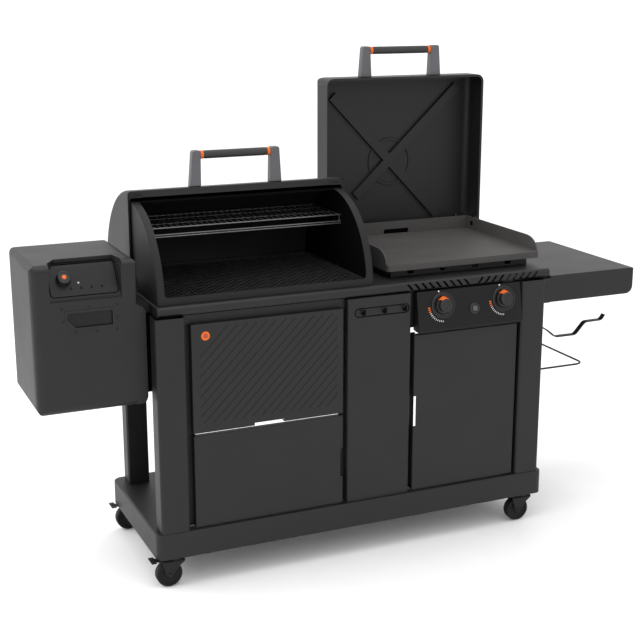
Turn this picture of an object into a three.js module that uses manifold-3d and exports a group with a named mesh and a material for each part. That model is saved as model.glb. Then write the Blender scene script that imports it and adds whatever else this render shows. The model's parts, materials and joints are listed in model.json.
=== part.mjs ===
// Pellet smoker and gas griddle on one rolling cart, both lids open.
// Millimetres. X runs left to right, Y front to back, Z up. Inside the cart group the zero is the
// base's front left corner at floor level; the group itself is moved so that the finished object's
// origin is the middle of its footprint on the floor.
import * as THREE from 'three';
import { mergeVertices } from 'three/addons/utils/BufferGeometryUtils.js';
import Module from 'manifold-3d';

const wasm = await Module();
wasm.setup();

// ---- Driving dimensions -------------------------------------------------------------------------
const SHEET = 2;
const GAP = 0.3;
const ARC_STEPS = 3;

const BASE = { right: 1332, back: 510, bottom: 93, top: 173, corner: 24, flange: 60 };
const FRONT_LEG = { left: 15.5, right: 103.5, front: 4, back: 67, corner: 9 };
const REAR_LEG = { left: 33, right: 103, front: 430, back: 485, corner: 7 };
const FRAME = { left: 27, right: 1336, front: 14.5, back: 565, bottom: 826, top: 857, roll: 13 };

// Front panels: all their skins lie in one plane. A notch is the range it takes of its edge.
const PANEL_FRONT = 10.5;
const DOOR_DEPTH = 18;
const NOTCH_DEPTH = 9;
const CENTER = { left: 617, right: 832, depth: 40, window: { left: 641, right: 823, low: 768, high: 793 } };
const HOOKS = { x: [667, 738, 807], half: 4, reach: 14, z: 772, sheet: 3, tip: 9 };
const SHELF_PANEL = { left: 122, right: 602, low: 470, high: 800, notch: [313, 408.5] };
const LEFT_DOOR = { left: 123, right: 602, low: 175.5, high: 463, notch: [264, 357] };
const RIGHT_DOOR = { left: 845, right: 1217, low: 175.5, high: 690, notch: [379, 506] };

// Smoker barrel: a round upper half standing on the frame and a trough hung below it.
const BARREL = { left: 34, right: 712, y: 298, z: FRAME.top, radius: 262, flange: 20, strip: 22 };
const TUB = { left: 109, right: 704, front: 70, back: 527, bottom: 642, foot: 98, shoulder: 700 };
const GRATE_BOTTOM = 860.2;
const RACK = { left: 37, right: 709, front: 266, back: 476, z: 1037, drop: 18, wire: 5 };
const FEED = { y: 298, z: 679, radius: 28, wall: 2, start: -200, end: 343 };
const POT = { x: 405, radius: 60, wall: 3, bottom: 644.5, top: 738 };

// The lid's quarter drum, drawn open: it covers the rear upper quarter about its own centre.
const LID = { left: 25, right: 724, y: 281, z: 866, radius: 285, lip: 20, skirt: 8 };
const LID_PIVOT = { y: 293, z: 870.9, radius: 6 };
const LID_HANDLE = {
  y: 303, top: 1259, bar: 1245, barRadius: 12.5, depth: 26,
  posts: [[221.5, 257, 231, 258], [480, 519, 483, 512]],
};

const GRIDDLE = { left: 784, right: 1334.5, front: 79.5, back: 548.5, under: 893, top: 901, corner: 10 };
const GRIDDLE_SKIRT = 881;
const GRIDDLE_RIM = 944.5;
const GREASE_SLOT = { left: 1002, right: 1098, height: 16, corner: 5 };
const BURNER_BOX = { left: 809.5, right: 1306.5, front: 110, back: 540, bottom: 760, top: 873 };
const BURNER_WELL = { right: 1222, top: 829 };
const AIR_NOTCH = { x: [880, 996, 1114, 1234], half: 11, depth: 10 };
const BURNER = {
  x: { left: 939, right: 1148 }, half: 68, tube: 23, front: 150, back: 500, corner: 40, bottom: 815, top: 833,
};
const HOOD = {
  left: 778, right: 1373.5, front: 527.5, back: 627, bottom: 919.5, top: 1440, corner: 26, edge: 12,
};
const HOOD_PIVOT = { y: 576.8, z: 933.2, radius: 8 };
const HOOD_HANDLE = {
  y: 558, top: 1541, bar: 1527, barRadius: 12.5, depth: 26,
  posts: [[909, 950, 916.5, 944.5], [1169.5, 1212, 1173.5, 1205]],
};

const CONTROL = { left: 850, right: 1221, top: 825, topY: 12, low: 705, lowY: -10, bottom: 695, back: 30 };
const KNOB_Z = 778;
const KNOBS_X = [939, 1157];
const IGNITER = { x: 1050, z: 758, radius: 9 };

const HOPPER = { left: -315.5, right: -15, front: 59.5, back: 368, bottom: 562, top: 997, corner: 30 };
const HOPPER_SPLIT = 981;
const HOPPER_WALL = 4;
const HOPPER_BIN = { floor: 712, slot: [-150, -70] };
const CONSOLE = { left: -265, right: -62, lowY: 62, lowZ: 899, highY: 128, plate: 4 };
const CONSOLE_SLOPE = 1.433;
const HOPPER_KNOB = { x: -217, y: 95.7, radius: 21, height: 20 };

const SHELF = { left: 1336.7, right: 1663.5, front: 11, back: 506, bottom: 745, top: 833, corner: 26 };
// The towel arm is a bent strap. Its path is given in x and z.
const ARM = {
  y: 36, half: 9, sheet: 3, bend: 9,
  path: [[1316.3, 688], [1316.3, 664], [1350, 644], [1378, 620.5], [1456, 620], [1492.5, 659.5], [1558, 660],
    [1569, 677]],
};
const CASTER = { trail: 21.2, wheel: 39.7, width: 28, axle: 4, front: 26 };
const BRAKE_PAD = { left: -78, right: -62, half: 22, neck: 12, low: 85, high: 88 };
const CASTERS = {
  front_left: [59.6, 29], front_right: [1271.8, 29], rear_left: [59.6, 484], rear_right: [1271.8, 484],
};

// ---- Solids -------------------------------------------------------------------------------------
function solid(geometry) {
  const bare = geometry.clone();
  bare.deleteAttribute('normal');
  bare.deleteAttribute('uv');
  const merged = mergeVertices(bare, 1e-4);
  const mesh = new wasm.Mesh({
    numProp: 3,
    vertProperties: new Float32Array(merged.attributes.position.array),
    triVerts: new Uint32Array(merged.index.array),
  });
  return new wasm.Manifold(mesh);
}

function geometryOf(body) {
  const mesh = body.getMesh();
  const geometry = new THREE.BufferGeometry();
  geometry.setAttribute('position', new THREE.BufferAttribute(mesh.vertProperties, 3));
  geometry.setIndex(new THREE.BufferAttribute(mesh.triVerts, 1));
  geometry.computeVertexNormals();
  return geometry;
}

function join(...bodies) {
  return bodies.reduce((sum, body) => sum.add(body));
}

function cut(body, ...tools) {
  return tools.reduce((rest, tool) => rest.subtract(tool), body);
}

function block(x0, x1, y0, y1, z0, z1) {
  const box = new THREE.BoxGeometry(x1 - x0, y1 - y0, z1 - z0);
  box.translate((x0 + x1) / 2, (y0 + y1) / 2, (z0 + z1) / 2);
  return solid(box);
}

function polygon(points) {
  return new THREE.Shape(points.map(([u, v]) => new THREE.Vector2(u, v)));
}

// A rectangle with its own radius at each corner: low-low, high-low, high-high, low-high.
function plate(u0, u1, v0, v1, radii) {
  const [a, b, c, d] = Array.isArray(radii) ? radii : [radii, radii, radii, radii];
  const shape = new THREE.Shape();
  const corner = (u, v, radius, start) => {
    if (radius > 0) shape.absarc(u, v, radius, start, start + Math.PI / 2, false);
    else shape.lineTo(u, v);
  };
  shape.moveTo(u0 + a, v0);
  shape.lineTo(u1 - b, v0);
  corner(u1 - b, v0 + b, b, -Math.PI / 2);
  shape.lineTo(u1, v1 - c);
  corner(u1 - c, v1 - c, c, 0);
  shape.lineTo(u0 + d, v1);
  corner(u0 + d, v1 - d, d, Math.PI / 2);
  shape.lineTo(u0, v0 + a);
  corner(u0 + a, v0 + a, a, Math.PI);
  return shape;
}

// An outline pushed along an axis. Along x the outline is (y, z), along y (x, z), along z (x, y).
function prism(axis, shape, from, to, arcSteps = ARC_STEPS) {
  const depth = to - from;
  const geometry = new THREE.ExtrudeGeometry(shape, { depth, bevelEnabled: false, curveSegments: arcSteps });
  if (axis === 'x') {
    geometry.applyMatrix4(new THREE.Matrix4().set(0, 0, 1, from, 1, 0, 0, 0, 0, 1, 0, 0, 0, 0, 0, 1));
  } else if (axis === 'y') {
    geometry.applyMatrix4(new THREE.Matrix4().set(1, 0, 0, 0, 0, 0, -1, to, 0, 1, 0, 0, 0, 0, 0, 1));
  } else {
    geometry.translate(0, 0, from);
  }
  return solid(geometry);
}

// A round bar along an axis, centred on the two other coordinates in their x, y, z order.
function rod(axis, centre, radius, from, to, sides = 16, endRadius = radius) {
  const geometry = new THREE.CylinderGeometry(endRadius, radius, to - from, sides);
  const middle = (from + to) / 2;
  if (axis === 'x') {
    geometry.rotateZ(-Math.PI / 2).translate(middle, centre[0], centre[1]);
  } else if (axis === 'y') {
    geometry.translate(centre[0], middle, centre[1]);
  } else {
    geometry.rotateX(Math.PI / 2).translate(centre[0], centre[1], middle);
  }
  return solid(geometry);
}

// A round wire through a list of points, with its corners bent to a radius.
function wire(points, radius, bend, sides = 6) {
  const path = new THREE.CurvePath();
  const stops = points.map((p) => new THREE.Vector3(...p));
  let start = stops[0];
  for (let i = 1; i < stops.length - 1; i += 1) {
    const before = stops[i].clone().lerp(stops[i - 1], bend / stops[i].distanceTo(stops[i - 1]));
    const after = stops[i].clone().lerp(stops[i + 1], bend / stops[i].distanceTo(stops[i + 1]));
    path.add(new THREE.LineCurve3(start, before));
    path.add(new THREE.QuadraticBezierCurve3(before, stops[i], after));
    start = after;
  }
  path.add(new THREE.LineCurve3(start, stops[stops.length - 1]));
  const section = new THREE.Shape();
  section.absarc(0, 0, radius, 0, Math.PI * 2, false);
  const steps = Math.ceil(path.getLength() / (bend * 0.6 + 3));
  return solid(new THREE.ExtrudeGeometry(section, {
    steps, extrudePath: path, curveSegments: sides / 2, bevelEnabled: false,
  }));
}

// The edge view of a strap bent along a path in a plane.
function strap(points, sheet, bend) {
  const stops = points.map(([u, v]) => new THREE.Vector2(u, v));
  const toward = (at, other) => at.clone().lerp(other, Math.min(0.5, bend / at.distanceTo(other)));
  const path = stops.flatMap((at, i) => {
    if (i === 0 || i === stops.length - 1) return [at];
    const curve = new THREE.QuadraticBezierCurve(toward(at, stops[i - 1]), at, toward(at, stops[i + 1]));
    return curve.getPoints(3);
  });
  const offset = (at, i, side) => {
    const along = path[Math.min(i + 1, path.length - 1)].clone().sub(path[Math.max(i - 1, 0)]).normalize();
    return [at.x - (along.y * side * sheet) / 2, at.y + (along.x * side * sheet) / 2];
  };
  const left = path.map((at, i) => offset(at, i, 1));
  const right = path.map((at, i) => offset(at, i, -1)).reverse();
  return polygon([...left, ...right]);
}

// A sector of a round sheet in the y, z plane, between two angles in degrees from the rear.
function arcSheet(centreY, centreZ, radius, wall, fromDeg, toDeg, x0, x1, steps) {
  const point = (r, i) => {
    const angle = THREE.MathUtils.degToRad(fromDeg + ((toDeg - fromDeg) * i) / steps);
    return [centreY + r * Math.cos(angle), centreZ + r * Math.sin(angle)];
  };
  const outer = Array.from({ length: steps + 1 }, (_, i) => point(radius, i));
  const inner = Array.from({ length: steps + 1 }, (_, i) => point(radius - wall, steps - i));
  return prism('x', polygon([...outer, ...inner]), x0, x1);
}

// A folded sheet door: a front skin with four returns, open at its back.
function tray(x0, x1, z0, z1, front, depth) {
  const skin = block(x0, x1, front, front + depth, z0, z1);
  const inside = block(x0 + SHEET, x1 - SHEET, front + SHEET, front + depth + 1, z0 + SHEET, z1 - SHEET);
  return cut(skin, inside);
}

// A box sleeve standing upright, open at both ends.
function post(x0, x1, y0, y1, z0, z1, corner) {
  const outside = prism('z', plate(x0, x1, y0, y1, corner), z0, z1);
  const bore = plate(x0 + SHEET, x1 - SHEET, y0 + SHEET, y1 - SHEET, corner - SHEET);
  return cut(outside, prism('z', bore, z0 - 1, z1 + 1));
}

// ---- The cart -----------------------------------------------------------------------------------
const cart = new THREE.Group();
const BLACK = 0x303032;
const INNER_BLACK = 0x161616;

function piece(name, body, color = BLACK, roughness = 0.55, metalness = 0.3, parent = cart) {
  const material = new THREE.MeshStandardMaterial({ color, roughness, metalness });
  const mesh = new THREE.Mesh(geometryOf(body), material);
  mesh.name = name;
  parent.add(mesh);
  return mesh;
}

function makeBase() {
  const outside = prism('z', plate(0, BASE.right, 0, BASE.back, BASE.corner), BASE.bottom, BASE.top);
  const inset = plate(SHEET, BASE.right - SHEET, SHEET, BASE.back - SHEET, BASE.corner - SHEET);
  const hollow = prism('z', inset, BASE.bottom + SHEET, BASE.top - SHEET);
  const mouth = block(BASE.flange, BASE.right - BASE.flange, BASE.flange, BASE.back - BASE.flange,
    BASE.bottom - 1, BASE.bottom + SHEET + 1);
  piece('base_tray', cut(outside, hollow, mouth));
}

function makeLegs() {
  const low = BASE.top + GAP;
  const high = FRAME.bottom - GAP;
  const mirror = (x) => BASE.right - x;
  const front = [FRONT_LEG.front, FRONT_LEG.back, low, high, FRONT_LEG.corner];
  const rear = [REAR_LEG.front, REAR_LEG.back, low, high, REAR_LEG.corner];
  piece('leg_front_left', post(FRONT_LEG.left, FRONT_LEG.right, ...front));
  piece('leg_front_right', post(mirror(FRONT_LEG.right) - 2, mirror(FRONT_LEG.left) - 2, ...front));
  piece('leg_rear_left', post(REAR_LEG.left, REAR_LEG.right, ...rear));
  piece('leg_rear_right', post(mirror(REAR_LEG.right), mirror(REAR_LEG.left), ...rear));
}

function makeFrame() {
  const profile = plate(FRAME.front, FRAME.back, FRAME.bottom, FRAME.top, [FRAME.roll, 4, 4, FRAME.roll]);
  const outside = prism('x', profile, FRAME.left, FRAME.right);
  const clear = 0.5;
  const high = FRAME.top + 1;
  const tubHole = [TUB.left - clear, TUB.right + clear, TUB.front - clear, TUB.back + clear];
  const boxHole = [BURNER_BOX.left - clear, BURNER_BOX.right + clear, BURNER_BOX.front - clear,
    BURNER_BOX.back + clear];
  const hole = ([x0, x1, y0, y1], grow) => block(x0 - grow, x1 + grow, y0 - grow, y1 + grow,
    FRAME.bottom - 1, high);
  const wall = 3;
  const under = plate(FRAME.front + wall, FRAME.back - wall, FRAME.bottom - 20, FRAME.top - wall,
    [0, 0, 2, FRAME.roll - wall]);
  const channel = cut(prism('x', under, FRAME.left + wall, FRAME.right - wall),
    hole(tubHole, wall), hole(boxHole, wall));
  piece('top_frame', cut(outside, hole(tubHole, 0), hole(boxHole, 0), channel));
}

// The centre panel between the doors, with a window that a strip of three hooks stands in.
function makeCenterPanel() {
  const { left, right, depth, window } = CENTER;
  const skin = block(left, right, PANEL_FRONT, PANEL_FRONT + depth, BASE.top + GAP, FRAME.bottom - GAP);
  const inside = block(left + SHEET, right - SHEET, PANEL_FRONT + SHEET, PANEL_FRONT + depth + 1,
    BASE.top - 1, FRAME.bottom - GAP - SHEET);
  const slot = block(window.left, window.right, PANEL_FRONT - 1, PANEL_FRONT + SHEET + 1,
    window.low, window.high);
  piece('center_panel', cut(skin, inside, slot));

  const plateFront = PANEL_FRONT + SHEET + GAP;
  const hooks = HOOKS.x.map((x) => join(
    block(x - HOOKS.half, x + HOOKS.half, plateFront - HOOKS.reach, plateFront + 1,
      HOOKS.z, HOOKS.z + HOOKS.sheet),
    block(x - HOOKS.half, x + HOOKS.half, plateFront - HOOKS.reach,
      plateFront - HOOKS.reach + HOOKS.sheet, HOOKS.z, HOOKS.z + HOOKS.tip),
  ));
  const overlap = 8;
  const strip = block(window.left - overlap, window.right + 5, plateFront, plateFront + SHEET,
    window.low - overlap, window.high + overlap);
  piece('hook_strip', join(strip, ...hooks), 0x1c1c1c);
}

// The folding shelf and the two doors: trays with a finger notch through one of their edges.
function makeDoors() {
  const notched = (name, door, x0, x1, z0, z1) => {
    const body = tray(door.left, door.right, door.low, door.high, PANEL_FRONT, DOOR_DEPTH);
    piece(name, cut(body, block(x0, x1, PANEL_FRONT - 1, PANEL_FRONT + DOOR_DEPTH + 1, z0, z1)));
  };
  notched('front_shelf', SHELF_PANEL, SHELF_PANEL.notch[0], SHELF_PANEL.notch[1],
    SHELF_PANEL.low - 1, SHELF_PANEL.low + NOTCH_DEPTH);
  notched('left_door', LEFT_DOOR, LEFT_DOOR.right - NOTCH_DEPTH, LEFT_DOOR.right + 1, ...LEFT_DOOR.notch);
  notched('right_door', RIGHT_DOOR, RIGHT_DOOR.left - 1, RIGHT_DOOR.left + NOTCH_DEPTH, ...RIGHT_DOOR.notch);
}

// ---- Smoker -------------------------------------------------------------------------------------
function makeTub() {
  const section = (wall, top) => polygon([
    [TUB.front + wall, top], [TUB.front + wall, TUB.shoulder + 60], [TUB.front + 40 + wall, TUB.shoulder],
    [BARREL.y - TUB.foot, TUB.bottom + wall], [BARREL.y + TUB.foot, TUB.bottom + wall],
    [TUB.back - 40 - wall, TUB.shoulder], [TUB.back - wall, TUB.shoulder + 60], [TUB.back - wall, top],
  ]);
  const top = FRAME.top + GAP;
  const outside = prism('x', section(0, top + SHEET), TUB.left, TUB.right);
  const rim = block(TUB.left - 9, TUB.right + 5, TUB.front - 12, TUB.back + 12, top, top + SHEET);
  const inside = prism('x', section(SHEET, top + 10), TUB.left + SHEET, TUB.right - SHEET);
  const feedHole = rod('x', [FEED.y, FEED.z], FEED.radius + 0.5, TUB.left - 5, TUB.left + 5, 20);
  piece('smoker_tub', cut(join(outside, rim), inside, feedHole), INNER_BLACK);
}

function makeBarrel() {
  const skin = { x0: BARREL.left + SHEET + GAP, x1: BARREL.right - SHEET - GAP };
  const shellEnd = 92;
  const arc = (fromDeg, toDeg) => arcSheet(BARREL.y, BARREL.z, BARREL.radius, SHEET, fromDeg, toDeg,
    skin.x0, skin.x1, 22);
  piece('smoker_shell', arc(0.2, shellEnd));

  const half = new THREE.Shape();
  half.absarc(BARREL.y, BARREL.z + GAP, BARREL.radius, 0, Math.PI, false);
  const endPlate = (x0) => prism('x', half, x0, x0 + SHEET, 30);
  const pin = (x0, x1) => rod('x', [LID_PIVOT.y, LID_PIVOT.z], LID_PIVOT.radius, x0, x1, 12);
  piece('smoker_end_left', join(endPlate(BARREL.left), pin(LID.left - 5, BARREL.left + 1)));
  piece('smoker_end_right', join(endPlate(BARREL.right - SHEET), pin(BARREL.right - 1, LID.right + 5)));

  const topStrip = 14;
  const mouth = block(skin.x0 + BARREL.flange, skin.x1 - BARREL.flange, BARREL.y - BARREL.radius - 5,
    BARREL.y - 10 - topStrip, BARREL.z + BARREL.strip, BARREL.z + BARREL.radius + 5);
  piece('opening_frame', cut(arc(shellEnd + 0.2, 179.8), mouth), 0x343436);
}

function makeBarrelInside() {
  const grate = { left: 38, right: 707, front: 62, back: 534, top: GRATE_BOTTOM + 8 };
  const slots = [];
  const rows = 18;
  const pitch = (grate.right - grate.left - 30) / rows;
  for (let i = 0; i < rows; i += 1) {
    const x = grate.left + 15 + pitch * (i + 0.5);
    slots.push(block(x - pitch * 0.27, x + pitch * 0.27, grate.front + 14, grate.back - 14,
      GRATE_BOTTOM - 1, grate.top + 1));
  }
  const slab = block(grate.left, grate.right, grate.front, grate.back, GRATE_BOTTOM, grate.top);
  piece('cooking_grate', cut(slab, ...slots), 0x1a1a1a, 0.7, 0.4);

  const half = RACK.wire / 2;
  const railX = (y, z) => block(RACK.left, RACK.right, y - half, y + half, z - half, z + half);
  const bars = [railX(RACK.front, RACK.z), railX(RACK.front, RACK.z - RACK.drop), railX(RACK.back, RACK.z)];
  const crossings = 14;
  for (let i = 0; i <= crossings; i += 1) {
    const x = RACK.left + 6 + ((RACK.right - RACK.left - 12) * i) / crossings;
    const thin = half * 0.8;
    const upright = half * 0.6;
    bars.push(block(x - thin, x + thin, RACK.front, RACK.back, RACK.z - thin, RACK.z + thin));
    bars.push(block(x - upright, x + upright, RACK.front - upright, RACK.front + upright,
      RACK.z - RACK.drop, RACK.z));
  }
  piece('warming_rack', join(...bars), 0x2a2a2a, 0.4, 0.7);

  const baffle = { left: 128, right: 686, front: 118, back: 478, z: 775, edge: 14 };
  const pan = block(baffle.left, baffle.right, baffle.front, baffle.back, baffle.z, baffle.z + baffle.edge);
  const dish = block(baffle.left + SHEET, baffle.right - SHEET, baffle.front + SHEET, baffle.back - SHEET,
    baffle.z + SHEET, baffle.z + baffle.edge + 1);
  const stands = [baffle.left + 12, baffle.right - 12].flatMap((x) => [baffle.front + 4, baffle.back - 16]
    .map((y) => block(x - 3, x + 3, y, y + 12, TUB.shoulder - 2, baffle.z + 1)));
  piece('heat_baffle', join(cut(pan, dish), ...stands), INNER_BLACK);

  const cup = rod('z', [POT.x, FEED.y], POT.radius, POT.bottom, POT.top, 18);
  const bowl = rod('z', [POT.x, FEED.y], POT.radius - POT.wall, POT.bottom + POT.wall, POT.top + 1, 18);
  const inlet = rod('x', [FEED.y, FEED.z], FEED.radius - FEED.wall, POT.x - POT.radius - 2, POT.x, 16);
  piece('fire_pot', cut(cup, bowl, inlet), 0x3a3632, 0.7, 0.6);
}

// A quarter drum with end caps: skin, caps that reach past the pivot, and a lip along the front edge.
function makeLid() {
  const quarter = new THREE.Shape();
  quarter.moveTo(LID.y, LID.z);
  quarter.lineTo(LID.y + LID.radius, LID.z);
  quarter.absarc(LID.y, LID.z, LID.radius, 0, Math.PI / 2, false);
  const outside = prism('x', quarter, LID.left, LID.right, 24);
  const hollow = new THREE.Shape();
  hollow.moveTo(LID.y - 5, LID.z - 5);
  hollow.lineTo(LID.y + LID.radius - SHEET, LID.z - 5);
  hollow.absarc(LID.y, LID.z, LID.radius - SHEET, 0, Math.PI / 2, false);
  hollow.lineTo(LID.y - 5, LID.z + LID.radius - SHEET);
  const skin = cut(outside, prism('x', hollow, LID.left + SHEET, LID.right - SHEET, 24));
  const lip = block(LID.left + 1, LID.right - 1, LID.y, LID.y + SHEET, LID.z + LID.radius - LID.lip,
    LID.z + LID.radius - 1);
  const skirt = (x0) => block(x0, x0 + SHEET, LID_PIVOT.y - 3, LID.y + 90, LID.z - LID.skirt, LID.z + 1);
  const pinHole = rod('x', [LID_PIVOT.y, LID_PIVOT.z], LID_PIVOT.radius + 0.5,
    LID.left - 5, LID.right + 5, 12);
  const body = join(skin, lip, skirt(LID.left), skirt(LID.right - SHEET));
  piece('smoker_lid', cut(body, pinHole), BLACK, 0.5, 0.3);
}

// A lid handle: two tapered posts and a round grip between them. Each post is [base left, base
// right, top left, top right].
function makeHandle(name, handle, base, posts, drum) {
  posts.forEach(([b0, b1, t0, t1], i) => {
    const side = i === 0 ? 'left' : 'right';
    const outline = polygon([[b0, base], [b1, base], [t1, handle.top - 4], [t1 - 4, handle.top],
      [t0 + 4, handle.top], [t0, handle.top - 6]]);
    const body = prism('y', outline, handle.y - handle.depth / 2, handle.y + handle.depth / 2);
    piece(`${name}_post_${side}`, drum ? cut(body, drum) : body, 0x6a6a6e, 0.45, 0.5);
  });
  const share = (handle.bar - handle.barRadius - base) / (handle.top - 4 - base);
  const [left, right] = posts;
  const from = Math.max(left[3], THREE.MathUtils.lerp(left[1], left[3], share)) + GAP;
  const to = Math.min(right[2], THREE.MathUtils.lerp(right[0], right[2], share)) - GAP;
  const grip = rod('x', [handle.y, handle.bar], handle.barRadius, from, to, 20);
  piece(`${name}_grip`, grip, 0x1e1e1e, 0.6, 0.1);
}

function makeSmoker() {
  makeTub();
  makeBarrel();
  makeBarrelInside();
  makeLid();
  const drum = rod('x', [LID.y, LID.z], LID.radius + GAP, LID.left - 5, LID.right + 5, 96);
  makeHandle('smoker_handle', LID_HANDLE, LID.z + LID.radius - 8, LID_HANDLE.posts, drum);
}

// ---- Pellet feed --------------------------------------------------------------------------------
function hopperBlock(inset) {
  const h = HOPPER;
  const x = [h.left + inset, h.right - inset];
  const y = [h.front + inset, h.back - inset];
  const z = [h.bottom + inset, h.top - inset];
  const round = (...radii) => radii.map((radius) => Math.max(radius - inset, 1));
  const plan = prism('z', plate(...x, ...y, round(h.corner, 12, 8, 14)), ...z);
  const face = prism('y', plate(...x, ...z, round(h.corner, 6, 8, 20)), ...y);
  const side = prism('x', plate(...y, ...z, round(h.corner, 12, 8, 24)), ...x);
  return plan.intersect(face).intersect(side);
}

function consolePocket(depth) {
  const drop = depth / Math.cos(Math.atan(CONSOLE_SLOPE));
  const floor = (y) => CONSOLE.lowZ + (y - CONSOLE.lowY) * CONSOLE_SLOPE - drop;
  const high = 1100;
  return polygon([[40, floor(CONSOLE.lowY)], [CONSOLE.lowY, floor(CONSOLE.lowY)],
    [CONSOLE.highY, floor(CONSOLE.highY)], [CONSOLE.highY, high], [40, high]]);
}

function makeHopper() {
  const w = HOPPER_WALL;
  const outside = hopperBlock(0);
  const inside = hopperBlock(w);
  const slice = (y0, z0, z1) => block(HOPPER.left - 50, HOPPER.right + 50, y0, HOPPER.back + 50, z0, z1);
  const below = slice(0, HOPPER.bottom - 50, HOPPER_SPLIT);
  const above = slice(0, HOPPER_SPLIT + GAP, HOPPER.top + 50);
  const binFloor = HOPPER_BIN.floor;
  const mouth = block(HOPPER.left + 25, HOPPER.right - 15, CONSOLE.highY + w, HOPPER.back - 15,
    HOPPER_SPLIT - 20, HOPPER.top + 50);
  const bin = join(slice(CONSOLE.highY + w, binFloor, HOPPER.top - w).intersect(inside), mouth);
  const works = slice(0, HOPPER.bottom - 50, binFloor - w).intersect(inside);
  const behindConsole = prism('x', polygon([[60, 700], [126, 700], [126, 970], [68.5, 886], [60, 884]]),
    HOPPER.left + 8, HOPPER.right - w).intersect(inside);
  const backHatch = block(-270, -60, HOPPER.back - 10, HOPPER.back + 5, 590, 680);
  const feedSlot = block(...HOPPER_BIN.slot, FEED.y - 22, FEED.y + 22, binFloor - 10, binFloor + 1);
  const feedHole = rod('x', [FEED.y, FEED.z], FEED.radius + 0.5, HOPPER.right - 10, HOPPER.right + 40, 20);
  const pane = prism('y', polygon([[-196, 815], [-91, 815], [-91, 857], [-218, 857], [-218, 838]]), 40, 70);
  const pocket = prism('x', consolePocket(CONSOLE.plate + GAP), CONSOLE.left, CONSOLE.right);
  const flange = block(HOPPER.right - 3, 4.7, HOPPER.front + 2, HOPPER.front + 5, 569, 862);
  const bracket = block(HOPPER.right - 3, FRAME.left - GAP, 95, 340, FRAME.bottom + 3, FRAME.top - 5);
  const body = cut(join(outside.intersect(below), flange, bracket), bin, works, behindConsole, backHatch,
    feedSlot, feedHole, pane, pocket);
  piece('hopper_body', body);

  const notch = prism('z', polygon([[-262, 0], [-262, 92], [-233, 140], [-66, 140], [-58, 92], [-58, 0]]),
    900, 1100);
  piece('hopper_lid', cut(outside.intersect(above), notch));

  const glass = block(-232, -76, 65, 67, 799, 873);
  piece('hopper_window', glass, 0x181818, 0.2, 0);

  const consolePlate = cut(
    prism('x', consolePocket(CONSOLE.plate), CONSOLE.left + GAP, CONSOLE.right - GAP),
    prism('x', consolePocket(0), CONSOLE.left - 5, CONSOLE.right + 5),
  );
  const clip = block(-400, 0, CONSOLE.lowY, CONSOLE.highY - GAP, 880, 976);
  piece('controller_panel', consolePlate.intersect(clip), 0x242426);
}

function makeFeed() {
  const start = FEED.start;
  const inlet = block(...HOPPER_BIN.slot, FEED.y - 20, FEED.y + 20, FEED.z, FEED.z + 40);
  const tube = cut(
    rod('x', [FEED.y, FEED.z], FEED.radius, start, FEED.end, 16),
    rod('x', [FEED.y, FEED.z], FEED.radius - FEED.wall, start - 1, FEED.end + 1, 16),
    inlet,
  );
  piece('auger_tube', tube, 0x4a4a4c, 0.5, 0.7);

  const shaft = rod('x', [FEED.y, FEED.z], 6, start + 2, FEED.end - 8, 8);
  const turns = 9;
  const pitch = (FEED.end - start - 30) / turns;
  const flights = Array.from({ length: turns }, (_, i) => start + 12 + pitch * (i + 0.5))
    .map((x) => rod('x', [FEED.y, FEED.z], 21, x - 2, x + 2, 10));
  piece('auger_screw', join(shaft, ...flights), 0x8a8a8c, 0.4, 0.9);

  const motor = join(
    block(-262, -204, FEED.y - 34, FEED.y + 34, FEED.z - 34, FEED.z + 26),
    rod('x', [FEED.y, FEED.z - 6], 24, -300, -261, 20),
    rod('x', [FEED.y, FEED.z], 8, -205, start + 1.5, 12),
  );
  piece('auger_motor', motor, 0x77777a, 0.5, 0.6);
}

// ---- Griddle ------------------------------------------------------------------------------------
// An upper tray over a narrower well that stays clear of the right rear leg, and its two burners.
function makeBurners() {
  const b = BURNER_BOX;
  const n = AIR_NOTCH;
  const notches = n.x.map((x) => block(x - n.half, x + n.half, b.front - 1, b.front + 5,
    b.top - n.depth, b.top + 1));
  const ledges = [[b.left - 10, b.left + 1], [b.right - 1, b.right + 10]].map(([x0, x1]) => block(x0, x1,
    b.front + 20, b.back - 20, FRAME.top + GAP, FRAME.top + GAP + SHEET));
  const layer = (inset, grow) => {
    const y = [b.front + inset, b.back - inset];
    const tray = block(b.left + inset, b.right - inset, ...y, BURNER_WELL.top + inset, b.top + grow);
    const well = block(b.left + inset, BURNER_WELL.right - inset, ...y, b.bottom + inset,
      BURNER_WELL.top + inset + 1);
    return join(tray, well);
  };
  const tub = cut(layer(0, 0), layer(SHEET, 1));
  piece('burner_box', cut(join(tub, ...ledges), ...notches));

  const u = BURNER;
  Object.entries(u.x).forEach(([side, x]) => {
    const outer = plate(x - u.half, x + u.half, u.front, u.back, u.corner);
    const inner = plate(x - u.half + u.tube, x + u.half - u.tube, u.front + u.tube, u.back - u.tube,
      u.corner - 18);
    const ring = cut(prism('z', outer, u.bottom, u.top), prism('z', inner, u.bottom - 1, u.top + 1));
    const reach = u.half - u.tube / 2;
    const legs = [x - reach, x + reach].map((at) => rod('z', [at, (u.front + u.back) / 2], 5,
      b.bottom + SHEET + GAP, u.bottom + 1, 6));
    piece(`burner_${side}`, join(ring, ...legs), 0x6f6d6a, 0.5, 0.8);
  });
}

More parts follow.
